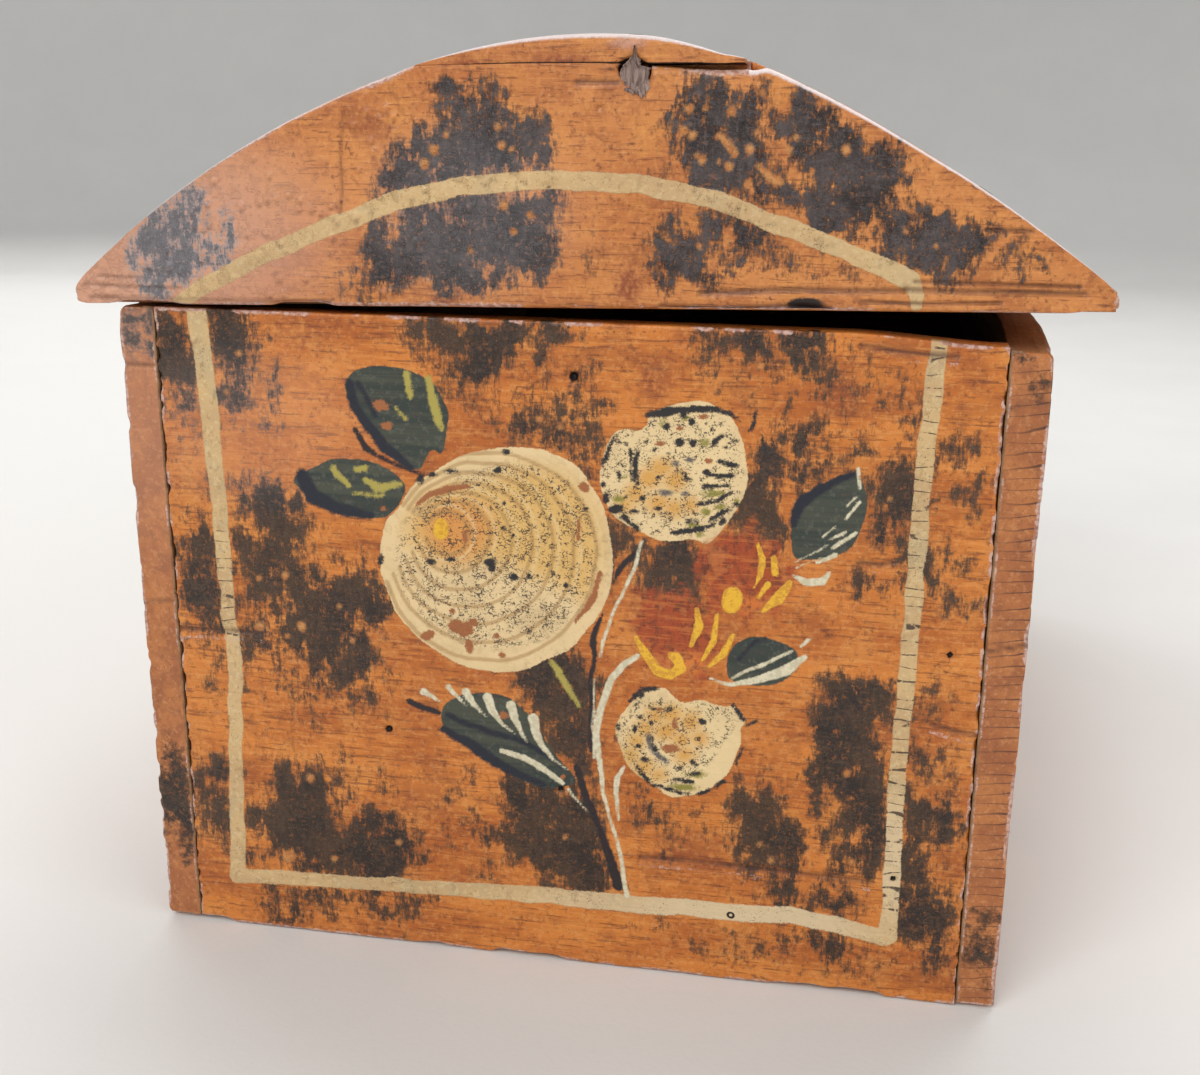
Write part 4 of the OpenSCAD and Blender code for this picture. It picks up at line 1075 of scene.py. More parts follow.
def paint_small_flower(p, cu, cv):
    """A flower of six petals with a leaf on either side, which the photo doesn't show."""
    for turn in np.arange(6) * math.pi / 3 + 0.3:
        p.dot("cream", cu + 34 * math.cos(turn), cv + 34 * math.sin(turn), 26, 24)
        p.stroke("black", [(cu + reach * math.cos(turn + 0.4), cv + reach * math.sin(turn + 0.4), width)
                           for reach, width in ((18, 1.5), (46, 2.4))])
    p.dot("yellow", cu, cv, 13, 13)
    for side in (-1, 1):
        p.area("leaf", [(cu + side * du, cv + dv) for du, dv in (
            (60, 5), (90, -20), (132, -14), (150, 12), (110, 25), (76, 20))])
        p.stroke("white", [(cu + side * du, cv + dv, width) for du, dv, width in (
            (66, 8, 2), (105, 2, 3), (142, 10, 1.2))])


def paint_front(p):
    left, right, top, low = MIDDLE_U - 645, MIDDLE_U + 645, 340, 905
    p.stroke("stripe", [(left, top, STRIPE), (left, low, STRIPE), (right, low, STRIPE), (right, top, STRIPE)])
    paint_spray(p)
    scatter_smoke(p, 21, (left - 60, 330, 300, 920), 26, (24, 84))
    scatter_smoke(p, 22, (860, 330, right + 60, 920), 26, (24, 84))
    scatter_smoke(p, 23, (300, 330, 860, 420), 7, (14, 40))
    for shift in (-430, 430):
        paint_small_flower(p, MIDDLE_U + shift, 620)


def long_board(front):
    """A long wall: its outer face, its end grain at both ends and its rim; the inner face is one polygon."""
    size = (2 * HALF_L, CASE_H, BOARD)
    a = np.concatenate((
        WALL_ENDS, np.arange(9, SPRAY_START, 2.0), np.arange(SPRAY_START, SPRAY_END, 0.6 if front else 2.0),
        np.arange(SPRAY_END, 321, 2.0), size[0] - WALL_ENDS[::-1]))
    c = np.concatenate((EDGE_LINES, np.linspace(EVEN_START, BOARD - EVEN_START, 9), BOARD - EDGE_LINES[::-1]))
    co, faces = block(a, lines(size[1], 0.9), c, True)
    seed = 70 if front else 90
    r = 0.4 + 0.9 * rough(co, 10, seed) ** 2 + 1.5 * (co[:, 0] < 8) * ease(co[:, 1], 150, CASE_H)
    r = np.where(co[:, 2] > BOARD - 3, 0.1 + 0.3 * rough(co, 5, seed) ** 2, r)
    at_end = np.minimum(co[:, 0], size[0] - co[:, 0]) < 0.1
    worn = wear(co, size, seed + 5, 1.6, 0.3, 9)
    co = rounded(co, size, r)
    along, up, deep = co.T
    # uneven planing, nicks along the ends and a chipped lower edge
    deep = deep + 0.25 * (rough(co, (80, 16, 60), seed + 1) - 0.5) * (deep < 2)
    end = np.clip(1 - np.minimum(along, size[0] - along) / 1.6, 0, 1)
    nick = ease(rough(np.stack((along * 0, up, deep), -1), (1, 4.2, 6), seed + 2), 0.55, 0.72)
    deep = deep + 0.8 * nick * end * np.clip(1 - deep / 1.2, 0, 1)
    chip = ease(rough_along(0, along, 15, seed + 3), 0.5, 0.7)
    up = up + 0.9 * chip * np.clip(1 - up / 2, 0, 1)
    side = 1 if front else -1
    x = side * (HALF_W - deep)
    y = -HALF_L + along
    if front:
        # the rim dips at the near corner
        up = up - 2.4 * (1 - ease(along, 4, 40)) * ease(up, 140, CASE_H)
    world = np.stack((x, y, up), -1)
    u, v = to_photo(world)
    # the end grain that shows is split across and a little hollow
    near_end = at_end & (along < 10)
    soft = np.zeros(len(co))
    # cracks are sunk into the end grain and darkened with dirt and painted shade
    for crack in STRIP_CRACKS:
        cut = groove(u, v, crack, 3.2) * near_end * (0.4 + 0.6 * noise(world, 3, 77))
        world[:, 1] += 0.8 * cut
        soft = np.maximum(soft, cut)
    world[:, 1] += 0.25 * rough(world, (6, 6, 1.8), seed + 8) * near_end
    end_paint = Paint(np.where(near_end, u, OFF_PICTURE), v, seed)
    end_paint.smokes(END_GRAIN_SMOKE)
    # the outer face, laid out as on the near end with its own pixels
    face = (deep < 1.5) & ~at_end
    p = Paint(np.where(face, MIDDLE_U + side * PX_PER_MM * y, OFF_PICTURE), WALL_FOOT_V - WALL_PX_PER_MM * up, seed + 4)
    if front:
        paint_front(p)
    else:
        scatter_smoke(p, 31, (BOARD_U[0], 330, BOARD_U[1], 930), 60, (26, 94))
    layers = merged(p, end_paint)
    # the back wall's end grain, which shows on the left, gets a painted sheen on its upper part
    layers.update(worn=worn, groove=soft, end_grain=at_end.astype(float),
                  cool=near_end * (0.0 if front else 0.35) * (1 - ease(v, 420, 640)),
                  rings=at_end * front * (1 - 0.085 * co[:, 2]),
                  inside=np.maximum((co[:, 2] > INNER_FACE) * 1.0, 0.75 * (co[:, 1] > CASE_H - 0.4)))
    name = "front_wall" if front else "back_wall"
    return piece(name, world, faces, SIDE, "case", ["front_board" if front else "back_board"], layers)


NAIL_GAP, NAIL_Z, NAIL_SIDES = 42.0, 17.5, 20
# radius, and height over the face of the board, from the middle of the head to the point
NAIL_PROFILE = ((0.2, 0.02), (0.42, 0.06), (0.8, 0.12), (1.3, 0.1), (1.62, 0.02), (1.7, -0.12), (1.6, -0.45),
                (0.85, -0.6), (0.6, -8.0), (0.15, -15.8))


def end_nails():
    """The nails low on both ends: painted over with the boards, one of them rubbed bare in the middle."""
    turns = np.linspace(0, 2 * math.pi, NAIL_SIDES, endpoint=False)
    ring = np.repeat(np.array(NAIL_PROFILE), NAIL_SIDES, axis=0)
    turn = np.tile(turns, len(NAIL_PROFILE))
    out = ring[:, 0] * (1 + 0.06 * np.cos(2 * turn + 0.6))
    co, faces = [], []
    for end in (-1, 1):
        for i in (-1, 0, 1):
            start = len(co) * len(ring)
            co.append(np.stack((i * NAIL_GAP + out * np.cos(turn), end * (HALF_L + ring[:, 1]),
                                NAIL_Z + out * np.sin(turn)), -1))
            for k in range(len(NAIL_PROFILE) - 1):
                at = start + k * NAIL_SIDES
                faces += [(at + j, at + (j + 1) % NAIL_SIDES, at + NAIL_SIDES + (j + 1) % NAIL_SIDES,
                           at + NAIL_SIDES + j) for j in range(NAIL_SIDES)]
            faces.append(tuple(range(start, start + NAIL_SIDES)))
            faces.append(tuple(range(start + len(ring) - NAIL_SIDES, start + len(ring))))
    world = np.concatenate(co)
    near = world[:, 1] < 0
    u, v = to_photo(np.where(near[:, None], world, world * (-1, -1, 1)))
    near_paint = Paint(np.where(near, u, OFF_PICTURE), v, 3)
    far_paint = Paint(np.where(near, OFF_PICTURE, u), v, 40)
    paint_case_end(near_paint)
    paint_far_end(far_paint)
    layers = merged(near_paint, far_paint)
    bare = near & (world[:, 0] > NAIL_GAP / 2)
    layers["hollow"] = bare * np.tile(1 - ease(ring[:, 0], 0.7, 1.0), 6)
    return piece("end_nail_set", world, faces, END_NEAR, "case", ["end_nails"], layers)


end_board(True)
end_board(False)
end_nails()
long_board(True)
long_board(False)

# ---------------------------------------------------------------- lid
# lengths of the lid as in the part's source, in the frame of the lid
LID_Y, PLANK_Y, LIP, CORE_END = 167.0, 162.0, 5.0, 155.0
TIP_BACK, TIP_FRONT, EAVE_H = -114.1, 116.6, 4.0
CREST_Z, LID_RISE, CREST_SHIFT, CREST_HALF = 50.3, 55.3, 5.8, 35.3
CREST_BACK, CREST_FRONT, CREST_UNDER = CREST_SHIFT - CREST_HALF, CREST_SHIFT + CREST_HALF, 43.3
RAIL_H, SLOPE_T, BULGE_BACK, BULGE_FRONT = 14.0, 8.0, 5.5, 3.2
AJAR = math.radians(1.4)
AXIS_X, AXIS_Z, AXIS_LOW = -108.2, 154.6, -3.3
SLIVER_LIFT = math.radians(0.8)
# grid lines through the lip, and heights of the flat grids that are bent into the lip, the part behind it and the
# split-off piece
LIP_DEPTHS = np.array((0, 0.3, 0.7, 1.2, 1.8, 3.0, 4.2, 5.0))
END_GRID, CORE_GRID, SLIVER_GRID = 52.0, 40, 6.0


def arc(p, q, bulge, side):
    """Circle through two points that swells by bulge above the line between them."""
    p, q = np.array(p), np.array(q)
    run = (q - p) / np.linalg.norm(q - p)
    into = side * np.array((-run[1], run[0]))
    span = np.linalg.norm(q - p)
    radius = (span * span / 4 + bulge * bulge) / (2 * bulge)
    return (p + q) / 2 + into * (radius - bulge), radius, run, into


BACK_C, BACK_R, BACK_RUN, BACK_INTO = arc((CREST_BACK, CREST_Z), (TIP_BACK, EAVE_H), BULGE_BACK, 1)
FRONT_C, FRONT_R, FRONT_RUN, FRONT_INTO = arc((CREST_FRONT, CREST_Z), (TIP_FRONT, EAVE_H), BULGE_FRONT, -1)
CREST_C, CREST_R, _, _ = arc((CREST_BACK, CREST_Z), (CREST_FRONT, CREST_Z), LID_RISE - CREST_Z, -1)


def on_arc(centre, radius, x):
    """Height of a circle at x."""
    return centre[1] + np.sqrt(np.maximum(radius ** 2 - (x - centre[0]) ** 2, 0))


def split_line(x):
    """Underside of the split-off crest piece, which sags a little towards its free end."""
    return CREST_Z - 0.8 * ease(x, -10, CREST_FRONT)


def lip_height(x, crest):
    """Top of a lid end, with the crest or up to where it has split off."""
    top = on_arc(CREST_C, CREST_R, x) if crest else split_line(x) - 1.2 * ease(x, 16, 36)
    front = on_arc(FRONT_C, FRONT_R, x) - (0 if crest else 2.0 * (1 - ease(x, CREST_FRONT, CREST_FRONT + 4.5)))
    z = np.where(x < CREST_BACK, on_arc(BACK_C, BACK_R, x), np.where(x > CREST_FRONT, front, top))
    return np.maximum(z, 0.5)


def inner_x(start, run, into, z):
    """Where the inner face of a sloping board is at height z."""
    p = np.array(start) + into * SLOPE_T
    return p[0] + run[0] * (z - p[1]) / run[1]


def inner_z(start, run, into, x):
    """Height of the inner face of a sloping board at x."""
    p = np.array(start) + into * SLOPE_T
    return p[1] + run[1] * (x - p[0]) / run[0]


RAIL_BACK = inner_x((CREST_BACK, CREST_Z), BACK_RUN, BACK_INTO, RAIL_H)
RAIL_FRONT = inner_x((CREST_FRONT, CREST_Z), FRONT_RUN, FRONT_INTO, RAIL_H)
INNER_BACK = inner_z((CREST_BACK, CREST_Z), BACK_RUN, BACK_INTO, CREST_BACK)
INNER_FRONT = inner_z((CREST_FRONT, CREST_Z), FRONT_RUN, FRONT_INTO, CREST_FRONT)


def lid_to_world(x, y, z):
    """Points of the lid's frame in the frame of the box, with the lid ajar."""
    dx, dz = x - AXIS_X, z - AXIS_LOW
    return np.stack((AXIS_X + dx * math.cos(AJAR) - dz * math.sin(AJAR), y,
                     AXIS_Z + dx * math.sin(AJAR) + dz * math.cos(AJAR)), -1)


# the near lid end in pixels of the photograph's frame: cracks as (width, line), lumps of paint, the torn-out place,
# and dents as (u, v, radius along u, radius along v, darkness)
LID_CRACKS = (
    (4.6, [(700, 293), (760, 291), (800, 290), (850, 291), (905, 291)]),
    (4.8, [(905, 290), (960, 292), (1010, 292), (1085, 294)]), (3.4, [(915, 282), (990, 284), (1080, 287)]),
    (4.4, [(660, 306), (720, 309), (790, 306), (830, 309)]), (3.6, [(575, 82), (618, 82)]),
    (3.4, [(985, 230), (1032, 231)]), (2.6, [(343, 112), (340, 160), (342, 190), (340, 214)]),
    (4.2, [(90, 297), (150, 299), (240, 301), (330, 303)]), (3.4, [(85, 284), (130, 287), (180, 288)]),
    (3.0, [(98, 276), (140, 278)]), (3.0, [(860, 302), (930, 304), (1000, 303)]),
)
LUMPS = (
    (367, 113), (386, 109), (393, 116), (371, 141), (373, 153), (359, 170), (300, 201), (299, 209), (311, 209),
    (320, 213), (331, 207), (259, 203), (241, 206), (267, 200), (276, 199), (266, 233), (214, 181), (207, 204),
    (190, 212), (204, 230), (149, 239), (173, 244), (168, 249), (180, 271), (390, 226), (401, 240), (389, 246),
    (269, 176), (253, 159), (380, 120), (396, 132), (352, 126),
)
TORN = ((612, 60), (652, 60), (653, 73), (648, 85), (636, 91), (618, 81))
DENTS = ((548, 187, 9, 6, 0.62), (805, 305, 34, 13, 1.1), (600, 107, 4, 4, 0.7))


def spot(u, v, at_u, at_v, radius):
    """1 at one pixel, falling to 0 at a radius from it."""
    return np.clip(1 - ((u - at_u) ** 2 + (v - at_v) ** 2) / radius ** 2, 0, 1)


def lid_end(near):
    """An arched lid end: its lip, and the part behind the lip that carries the boards."""
    length = TIP_FRONT - TIP_BACK
    size = (length, END_GRID, LIP)
    fine = 0.5 if near else 1.2
    co, faces = block(lines(length, fine), lines(END_GRID, fine), LIP_DEPTHS, True)
    seed = 120 if near else 150
    r = 1.3 + 1.1 * rough(co, 14, seed) ** 2
    worn = wear(co, size, seed + 5, 2.4, 0.45, 12)
    if near:
        # a sharp arris along the split, where the two halves still touch
        at = TIP_BACK + co[:, 0]
        closed = ease(at, CREST_BACK - 6, CREST_BACK + 2) * (1 - ease(at, 10, 18)) * (co[:, 1] > END_GRID / 2)
        r = r + (0.15 - r) * closed
        worn = worn * (1 - closed)
    rim_highlight_band = np.clip(1 - np.maximum(END_GRID - co[:, 1], co[:, 2]) / 1.9, 0, 1)
    flat = co[:, 2] < 0.1
    top_edge = co[:, 1] > END_GRID - 2.5
    co = rounded(co, size, r)
    along, up, deep = co.T
    # the arch, a little wavy, with rounded tips and a chipped lower edge
    x = TIP_BACK + along
    wave = 0.9 * (rough_along(0, x, 26, seed + 6) - 0.55)
    tall = lip_height(x, not near) + np.minimum(wave, 0) * ((x < CREST_BACK - 4) | (x > CREST_FRONT + 4))
    z = up / END_GRID * tall
    tip = np.minimum(along, length - along)
    z = tall / 2 + (z - tall / 2) * (0.3 + 0.7 * np.sqrt(1 - (1 - np.clip(tip / 3.5, 0, 1)) ** 2))
    lower = np.clip(1 - z / 3.5, 0, 1)
    z = z + 0.7 * ease(rough_along(0, x, 20, seed + 7), 0.5, 0.75) * lower
    deep = deep + 0.25 * (rough(co, (70, 12, 50), seed + 1) - 0.5) * (deep < 2)
    world = lid_to_world(x, -LID_Y + deep if near else LID_Y - deep, z)
    u, v = to_photo(world if near else lid_to_world(CREST_SHIFT * 2 - x, -LID_Y + deep, z))
    p = Paint(np.where(deep < 2.0, u, OFF_PICTURE), v, seed)
    hollow, soft = np.zeros(len(co)), np.zeros(len(co))
    if near:
        paint_lid_end(p)
        # lumps of paint on the left flank and in the dark patches, with painted shade below each and a painted
        # highlight above
        rng = np.random.default_rng(5)
        spread = rng.uniform((100, 190), (560, 300), (46, 2))
        for at_u, at_v in np.concatenate((LUMPS, spread)):
            wide, high = rng.uniform(3.6, 6.5), rng.uniform(0.4, 0.75)
            world[:, 1] -= high * spot(u, v, at_u, at_v, wide) ** 1.5 * flat
            foot = spot(u, v, at_u + 1, at_v + 0.8 * wide, 0.6 * wide)
            soft = np.maximum(soft, 0.3 * foot * flat)
            lump_highlight = spot(u, v, at_u - 1, at_v - 0.5 * wide, 0.6 * wide)
            worn = np.maximum(worn, 0.55 * lump_highlight * flat * (1 - ease(u, 400, 480)))
        # cracks are sunk and darkened with dirt and painted shade, with a pale painted highlight along the lip below
        # each
        for width, crack in LID_CRACKS:
            depth = flat * (0.5 + 0.5 * noise(world, 9, 19)) * (0.55 + 0.45 * ease(u, 260, 560))
            cut = groove(u, v, crack, width) * depth
            world[:, 1] += 0.9 * cut
            soft = np.maximum(soft, cut)
            worn = np.maximum(worn, 0.6 * groove(u, v - 6, crack, width) * flat * noise(world, 9, 21))
        # the torn-out place is sunk and filled with painted shade
        torn = np.clip(loop_depth(u, v, smooth_loop(TORN)) / 4, 0, 1) * (deep < 3)
        world[:, 1] += 2.4 * torn
        hollow = np.maximum(hollow, torn)
        # dents are sunk and darkened with painted shade; the wide low one on the right is also a dark knot
        for at_u, at_v, ru, rv, dark in DENTS:
            dent = np.clip(1 - np.hypot((u - at_u) / ru, (v - at_v) / rv), 0, 1) * flat
            world[:, 1] += 1.0 * dent
            hollow = np.maximum(hollow, dark * dent)
    else:
        p.stroke("stripe", [(185, 301, 9), (270, 250, 9), (396, 200, 9), (557, 179, 9), (713, 200, 9), (847, 253, 9),
                            (919, 300, 9)])
        scatter_smoke(p, 41, (150, 80, 1040, 290), 15, (18, 50))
    # a painted highlight along the top edge: full on the front flank, weaker on the back flank, none on the crest; the
    # crest piece has its own
    rim_highlight_strength = np.where(x < CREST_BACK, 0.55, np.where(x < CREST_FRONT, 0.0, 1.0))
    # the rubbed paint is paler along the top edge, partly as a painted highlight
    p.layers.update(worn=worn * np.where(top_edge, 1.0, 0.8), hollow=hollow, groove=soft, inside=0 * x,
                    rim=rim_highlight_band * rim_highlight_strength)
    # the part behind the lip, which fills the hollow of the lid
    core_depths = np.linspace(0, PLANK_Y - CORE_END, 4)
    core, core_faces = block(lines(RAIL_FRONT - RAIL_BACK, 4.0), lines(CORE_GRID, 4.0), core_depths, False)
    cx = RAIL_BACK + core[:, 0]
    t_back = (cx - RAIL_BACK) / (CREST_BACK - RAIL_BACK)
    t_front = (RAIL_FRONT - cx) / (RAIL_FRONT - CREST_FRONT)
    roof = np.where(cx < CREST_BACK, RAIL_H + (INNER_BACK - RAIL_H) * t_back,
                    np.where(cx > CREST_FRONT, RAIL_H + (INNER_FRONT - RAIL_H) * t_front, CREST_UNDER))
    core_y = -PLANK_Y + core[:, 2] if near else PLANK_Y - core[:, 2]
    core_world = lid_to_world(cx, core_y, core[:, 1] / CORE_GRID * (roof - 0.1) + 0.05)
    faces = faces + [[i + len(world) for i in f] for f in core_faces]
    layers = {key: np.concatenate((values, np.zeros(len(core)))) for key, values in p.layers.items()}
    layers["inside"][len(world):] = 1.0
    name, material = ("lid_arch_near", LID_NEAR) if near else ("lid_arch_far", LID_FAR)
    return piece(name, np.concatenate((world, core_world)), faces, material, "lid",
                 ["lid_end_near" if near else "lid_end_far"], layers)


SLIVER_TORN = ((614, 61), (632, 53), (652, 62), (652, 80), (614, 80))


def sliver():
    """The split-off top of the near lid end, which gapes at its front end."""
    size = (CREST_FRONT - CREST_BACK - 0.8, SLIVER_GRID, LIP)
    co, faces = block(lines(size[0], 0.7), np.linspace(0, SLIVER_GRID, 10), LIP_DEPTHS, True)
    worn = wear(co, size, 201, 1.6, 0.3, 9) * (co[:, 1] > 1)
    rim_highlight_band = np.clip(1 - np.maximum(SLIVER_GRID - co[:, 1], co[:, 2]) / 1.6, 0, 1)
    co = rounded(co, size, np.where(co[:, 1] < 2, 0.12, 0.6 + 0.8 * rough(co, 9, 200) ** 2))
    x = CREST_BACK + co[:, 0]
    under = split_line(x)
    sprung = (x - CREST_BACK) * math.sin(SLIVER_LIFT) * (1 - ease(x, 20, CREST_FRONT))
    top = on_arc(CREST_C, CREST_R, x) + sprung - 0.6 * ease(x, 20, CREST_FRONT) - under
    # the free end keeps some thickness
    least = 1.7 * ease(x, CREST_BACK + 30, CREST_FRONT - 4) * (1 - 0.45 * ease(x, CREST_FRONT - 5, CREST_FRONT))
    z = under + co[:, 1] / SLIVER_GRID * np.maximum(top, least)
    ragged = rough(np.stack((x, 0 * x, co[:, 2]), -1), (7, 1, 3), 205) - 0.5
    z = z + 0.3 * ragged * (co[:, 1] < 1) * ease(x, 10, 20)
    world = lid_to_world(x, -LID_Y + co[:, 2], z)
    u, v = to_photo(world)
    face = co[:, 2] < 1.5
    torn = np.clip(loop_depth(u, v, smooth_loop(SLIVER_TORN)) / 4, 0, 1) * face
    world[:, 1] += 1.8 * torn
    # painted shade along the underside, in the split
    shade = (co[:, 1] < 0.4) * ease(u, 440, 480)
    p = Paint(np.where(face, u, OFF_PICTURE), v, 207)
    # tints, and a painted sheen near the torn place
    p.glows(tint=((560, 58, 50, 8, 0.7), (470, 64, 26, 7, 0.9), (625, 45, 22, 6, 0.8), (700, 60, 40, 5, 0.5)),
            cool=((628, 42, 26, 9),))
    # the rim layer is a painted highlight along the top edge
    p.layers.update(worn=worn, hollow=np.maximum(0.7 * shade, torn), inside=0 * x, rim=rim_highlight_band)
    return piece("crest_splinter", world, faces, LID_NEAR, "lid", ["crest_sliver"], p.layers)


# the two sides of the torn fibres from top to bottom, in pixels of the photograph's frame
FIBRE_LEFT = ((634, 45), (632, 56), (627, 64), (619, 72), (615, 80), (621, 88), (632, 94))
FIBRE_RIGHT = ((635, 45), (637, 57), (641, 65), (650, 68), (650, 78), (648, 88), (644, 95))


def torn_fibres():
    """Grey fibres left standing where a splinter was torn out of the near lid end."""
    rows, across = np.linspace(0, 1, 40), np.linspace(0, 1, 22)
    t, side = (m.ravel() for m in np.meshgrid(rows, across, indexing="ij"))
    marks = np.linspace(0, 1, len(FIBRE_LEFT))
    edges = [[np.interp(t, marks, np.array(line)[:, k]) for k in (0, 1)] for line in (FIBRE_LEFT, FIBRE_RIGHT)]
    u, v = (edges[0][k] + (edges[1][k] - edges[0][k]) * side for k in (0, 1))
    jag = np.stack((t * 14, np.round(side) * 7, 0 * t), -1)
    u = u + 7.5 * (rough(jag, 1.0, 403, 2) - 0.5) * abs(2 * side - 1) ** 3 * ease(t, 0.08, 0.3)
    v = v + 9.0 * (rough_along(0, side * 8, 1.0, 404, 2) - 0.4) * ease(t, 0.7, 1.0)
    ridge = rough(np.stack((side * 9, t * 2, 0 * t), -1), 1.0, 401, 3) - 0.5
    top = -LID_Y - 0.3 + 1.0 * ease(t, 0.15, 0.5) * (1 - ease(t, 0.6, 0.95)) + 1.4 * ridge
    front = from_photo(u, v, top)
    base = front + np.array((0, 1, 0)) * (-LID_Y + 2.8 - top)[:, None]
    n, w = len(rows), len(across)
    g = np.arange(n * w).reshape(n, w)
    faces = grid_quads(g).tolist()
    rim = np.concatenate((g[0, :-1], g[:-1, -1], g[-1, :0:-1], g[:0:-1, 0]))
    rim_next = np.roll(rim, -1)
    faces += np.stack((rim, rim_next, rim_next + n * w, rim + n * w), -1).tolist()
    faces.append((rim + n * w).tolist())
    used = np.concatenate((np.arange(n * w), np.sort(rim) + n * w))
    index = np.full(2 * n * w, -1)
    index[used] = np.arange(len(used))
    co = np.concatenate((front, base))[used]
    return piece("torn_fibres", co, [[index[i] for i in f] for f in faces], TORN_WOOD, "lid", [])


def plank(name, node, inner, outer, seed, smoke_count, flip):
    """A lid board along Y between two outlines, inner and outer, given as matching points in x and z."""
    inner, outer = np.array(inner), np.array(outer)
    wide = np.linalg.norm(np.diff(outer, axis=0), axis=1).sum()
    thick = np.linalg.norm(outer - inner, axis=1).mean()
    long = 2 * PLANK_Y - 0.2
    size = (wide, thick, long)
    co, faces = block(lines(wide, 1.5), lines(thick, 2.0), lines(long, 2.2), False)
    worn = wear(co, size, seed + 5, 2.0)
    co = rounded(co, size, 0.35 + 0.6 * rough(co, 12, seed) ** 2)
    s = np.linspace(0, wide, len(outer))
    ox, oz = np.interp(co[:, 0], s, outer[:, 0]), np.interp(co[:, 0], s, outer[:, 1])
    ix, iz = np.interp(co[:, 0], s, inner[:, 0]), np.interp(co[:, 0], s, inner[:, 1])
    t = co[:, 1] / thick
    skin = t > 0.8
    t = t - 0.02 * rough(co, (14, 14, 70), seed + 1) * skin
    y = co[:, 2] - long / 2
    world = lid_to_world(ix + (ox - ix) * t, y, iz + (oz - iz) * t)
    p = Paint(np.where(skin, MIDDLE_U + flip * PX_PER_MM * y, OFF_PICTURE), PLANK_TOP_V + PX_PER_MM * co[:, 0], seed)
    left, right, foot = MIDDLE_U - 640, MIDDLE_U + 640, PLANK_TOP_V + PX_PER_MM * wide
    scatter_smoke(p, seed, (BOARD_U[0], PLANK_TOP_V, BOARD_U[1], foot), smoke_count, (24, 80))
    if node != "back_slope":
        p.strokes(stripe=[[(at, PLANK_TOP_V - 40, STRIPE), (at, foot + 40, STRIPE)] for at in (left, right)])
    if node == "front_slope":
        low = foot - 2 * PX_PER_MM
        p.stroke("stripe", [(left, low, STRIPE), (right, low, STRIPE)])
    p.layers.update(worn=worn * skin, inside=(t < 0.5) * 1.0)
    return piece(name, world, faces, LID_TOP, "lid", [node], p.layers)


def outline(centre, radius, xs):
    """Points of a circle over xs."""
    return np.stack((xs, on_arc(centre, radius, xs)), -1)


lid_end(True)
lid_end(False)
sliver()
torn_fibres()
STEPS = 24
crest_x = np.linspace(CREST_BACK, CREST_FRONT, STEPS)
plank("crest_plank", "crest_board", np.stack((crest_x, np.full(STEPS, CREST_UNDER)), -1),
      outline(CREST_C, CREST_R, crest_x), 300, 26, 1)
for front in (False, True):
    centre, radius = (FRONT_C, FRONT_R) if front else (BACK_C, BACK_R)
    top_x = CREST_FRONT if front else CREST_BACK
    foot_in = RAIL_FRONT if front else RAIL_BACK
    foot_out = centre[0] + (1 if front else -1) * math.sqrt(radius ** 2 - (RAIL_H - centre[1]) ** 2)
    top_in = INNER_FRONT if front else INNER_BACK
    inside_line = np.stack((np.linspace(top_x, foot_in, STEPS), np.linspace(top_in, RAIL_H, STEPS)), -1)
    plank("front_slope_plank" if front else "back_slope_plank", "front_slope" if front else "back_slope",
          inside_line, outline(centre, radius, np.linspace(top_x, foot_out, STEPS)), 330 if front else 360,
          30, 1 if front else -1)

# ---------------------------------------------------------------- carried-over CAD nodes
CARRIED = {
    INSIDE_Y: ("bottom_board",),
    INSIDE_X: ("cleat_near", "cleat_far"),
    LID_TOP: ("front_rail", "back_rail"),
    IRON: ("front_nails", "back_nails", "sliver_nail", "crest_nails", "slope_nails", "case_leaf_near",
           "case_leaf_far", "lid_leaf_near", "lid_leaf_far", "hinge_pin_near", "hinge_pin_far", "case_screws",
           "lid_screws"),
}
for material, names in CARRIED.items():
    for node in names:
        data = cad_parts[node].data
        data.materials.clear()
        data.materials.append(material)

# ---------------------------------------------------------------- floor, backdrop and light
# rings of the floor as (radius, height) in metres; it lies a hair below the box
FLOOR_RINGS = ((0.5, 0.0), (1.2, 0.0), (2.2, 0.0), (2.7, 0.05), (3.1, 0.25), (3.4, 0.7), (3.5, 1.4), (3.5, 2.2))
FLOOR_SIDES, FLOOR_DROP = 72, 0.0003


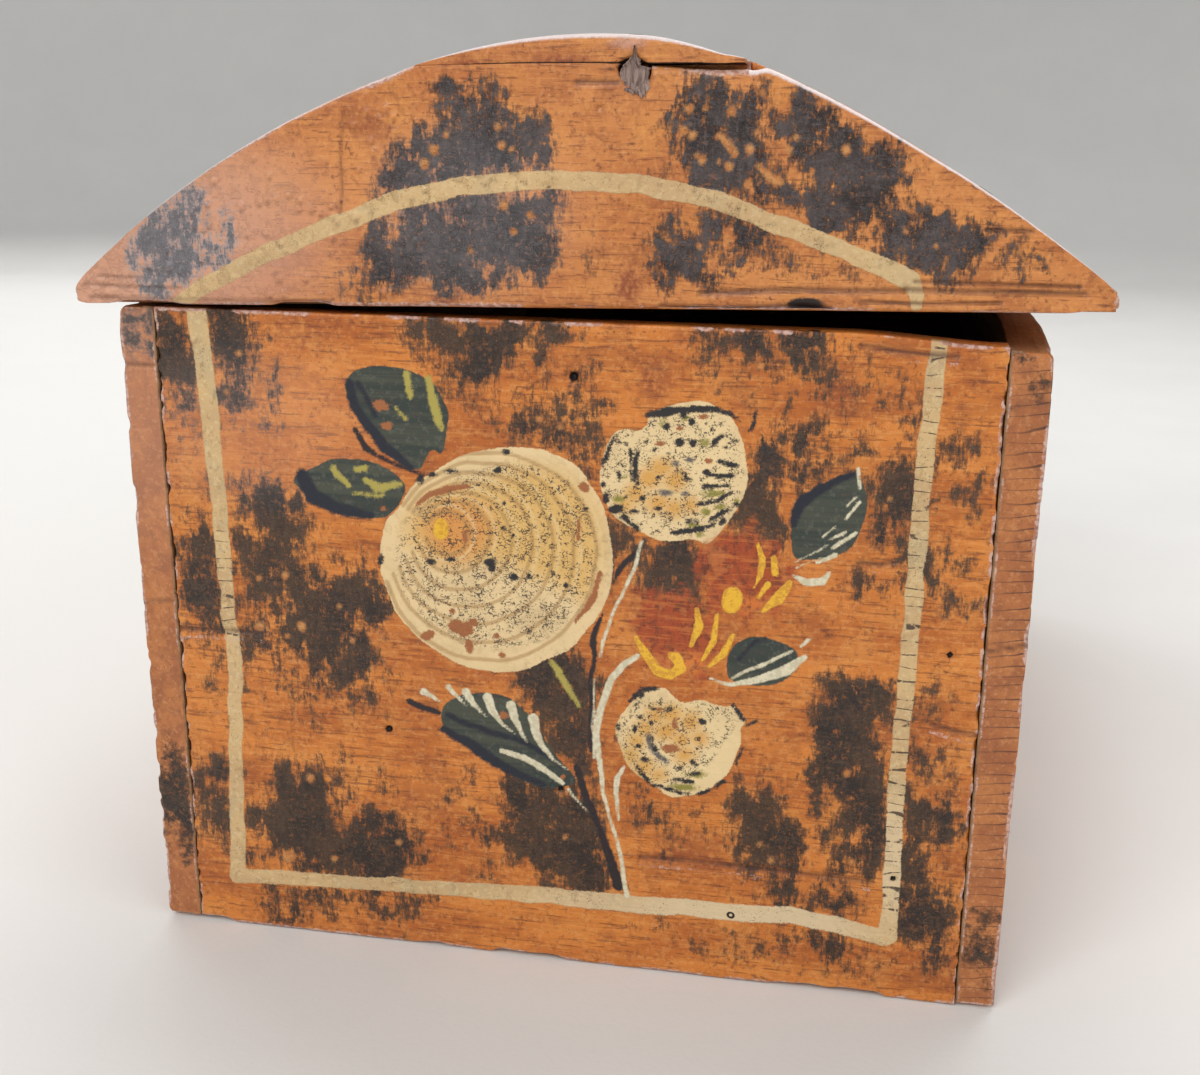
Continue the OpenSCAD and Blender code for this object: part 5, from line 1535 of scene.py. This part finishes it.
def studio_floor():
    """A pale floor that curves up into a backdrop all around."""
    mesh = bpy.data.meshes.new("floor")
    turns = [2 * math.pi * k / FLOOR_SIDES for k in range(FLOOR_SIDES)]
    verts = [(r * math.cos(turn), r * math.sin(turn), z - FLOOR_DROP) for r, z in FLOOR_RINGS for turn in turns]
    sides = [(k, (k + 1) % FLOOR_SIDES) for k in range(FLOOR_SIDES)]
    ring = [(k, FLOOR_SIDES + k, FLOOR_SIDES + after, after) for k, after in sides]
    faces = [tuple(i * FLOOR_SIDES + at for at in quad) for i in range(len(FLOOR_RINGS) - 1) for quad in ring]
    faces.append(tuple(range(FLOOR_SIDES)))
    mesh.from_pydata(verts, [], faces)
    for f in mesh.polygons:
        f.use_smooth = True
    g = Graph("pale_floor")
    dust = g.noise(g.stretched((1, 1, 1)), 9, 5, 0.6)
    grit = g.noise(g.stretched((1, 1, 1)), 700, 2)
    colour = g.mix(dust, (0.74, 0.735, 0.72), (0.80, 0.795, 0.78))
    mesh.materials.append(g.finish(colour, g.step(dust, 0.3, 0.7, 0.6, 0.72), g.bump(grit, 0.0003, 0.2)))
    obj = bpy.data.objects.new("floor", mesh)
    bpy.context.scene.collection.objects.link(obj)


def lamp(name, at, aim, power, size, colour):
    """A square area lamp aimed at a point, in metres."""
    data = bpy.data.lights.new(name, "AREA")
    data.energy, data.size, data.color = power, size, colour
    obj = bpy.data.objects.new(name, data)
    bpy.context.scene.collection.objects.link(obj)
    away = np.array(at) - np.array(aim)
    away = away / np.linalg.norm(away)
    side = np.cross((0, 0, 1), away)
    side = side / np.linalg.norm(side)
    up = np.cross(away, side)
    obj.matrix_world = Matrix([[side[i], up[i], away[i], at[i]] for i in range(3)] + [[0, 0, 0, 1]])


studio_floor()
MIDDLE = (0.0, 0.0, 0.1)
lamp("key", (-0.7, -1.7, 1.5), MIDDLE, 26, 1.3, (1.0, 0.97, 0.93))
lamp("fill", (1.7, -1.0, 1.0), MIDDLE, 13, 1.4, (0.96, 0.98, 1.0))
lamp("top", (0.2, 0.9, 2.0), MIDDLE, 24, 1.4, (1.0, 0.98, 0.95))
lamp("back", (-1.4, 1.4, 1.2), MIDDLE, 13, 1.4, (1.0, 0.98, 0.95))
world = bpy.data.worlds.new("studio")
bpy.context.scene.world = world
world.use_nodes = True
world.node_tree.nodes["Background"].inputs["Color"].default_value = (0.9, 0.92, 0.95, 1.0)
world.node_tree.nodes["Background"].inputs["Strength"].default_value = 0.32
bpy.context.scene.view_settings.view_transform = "Standard"
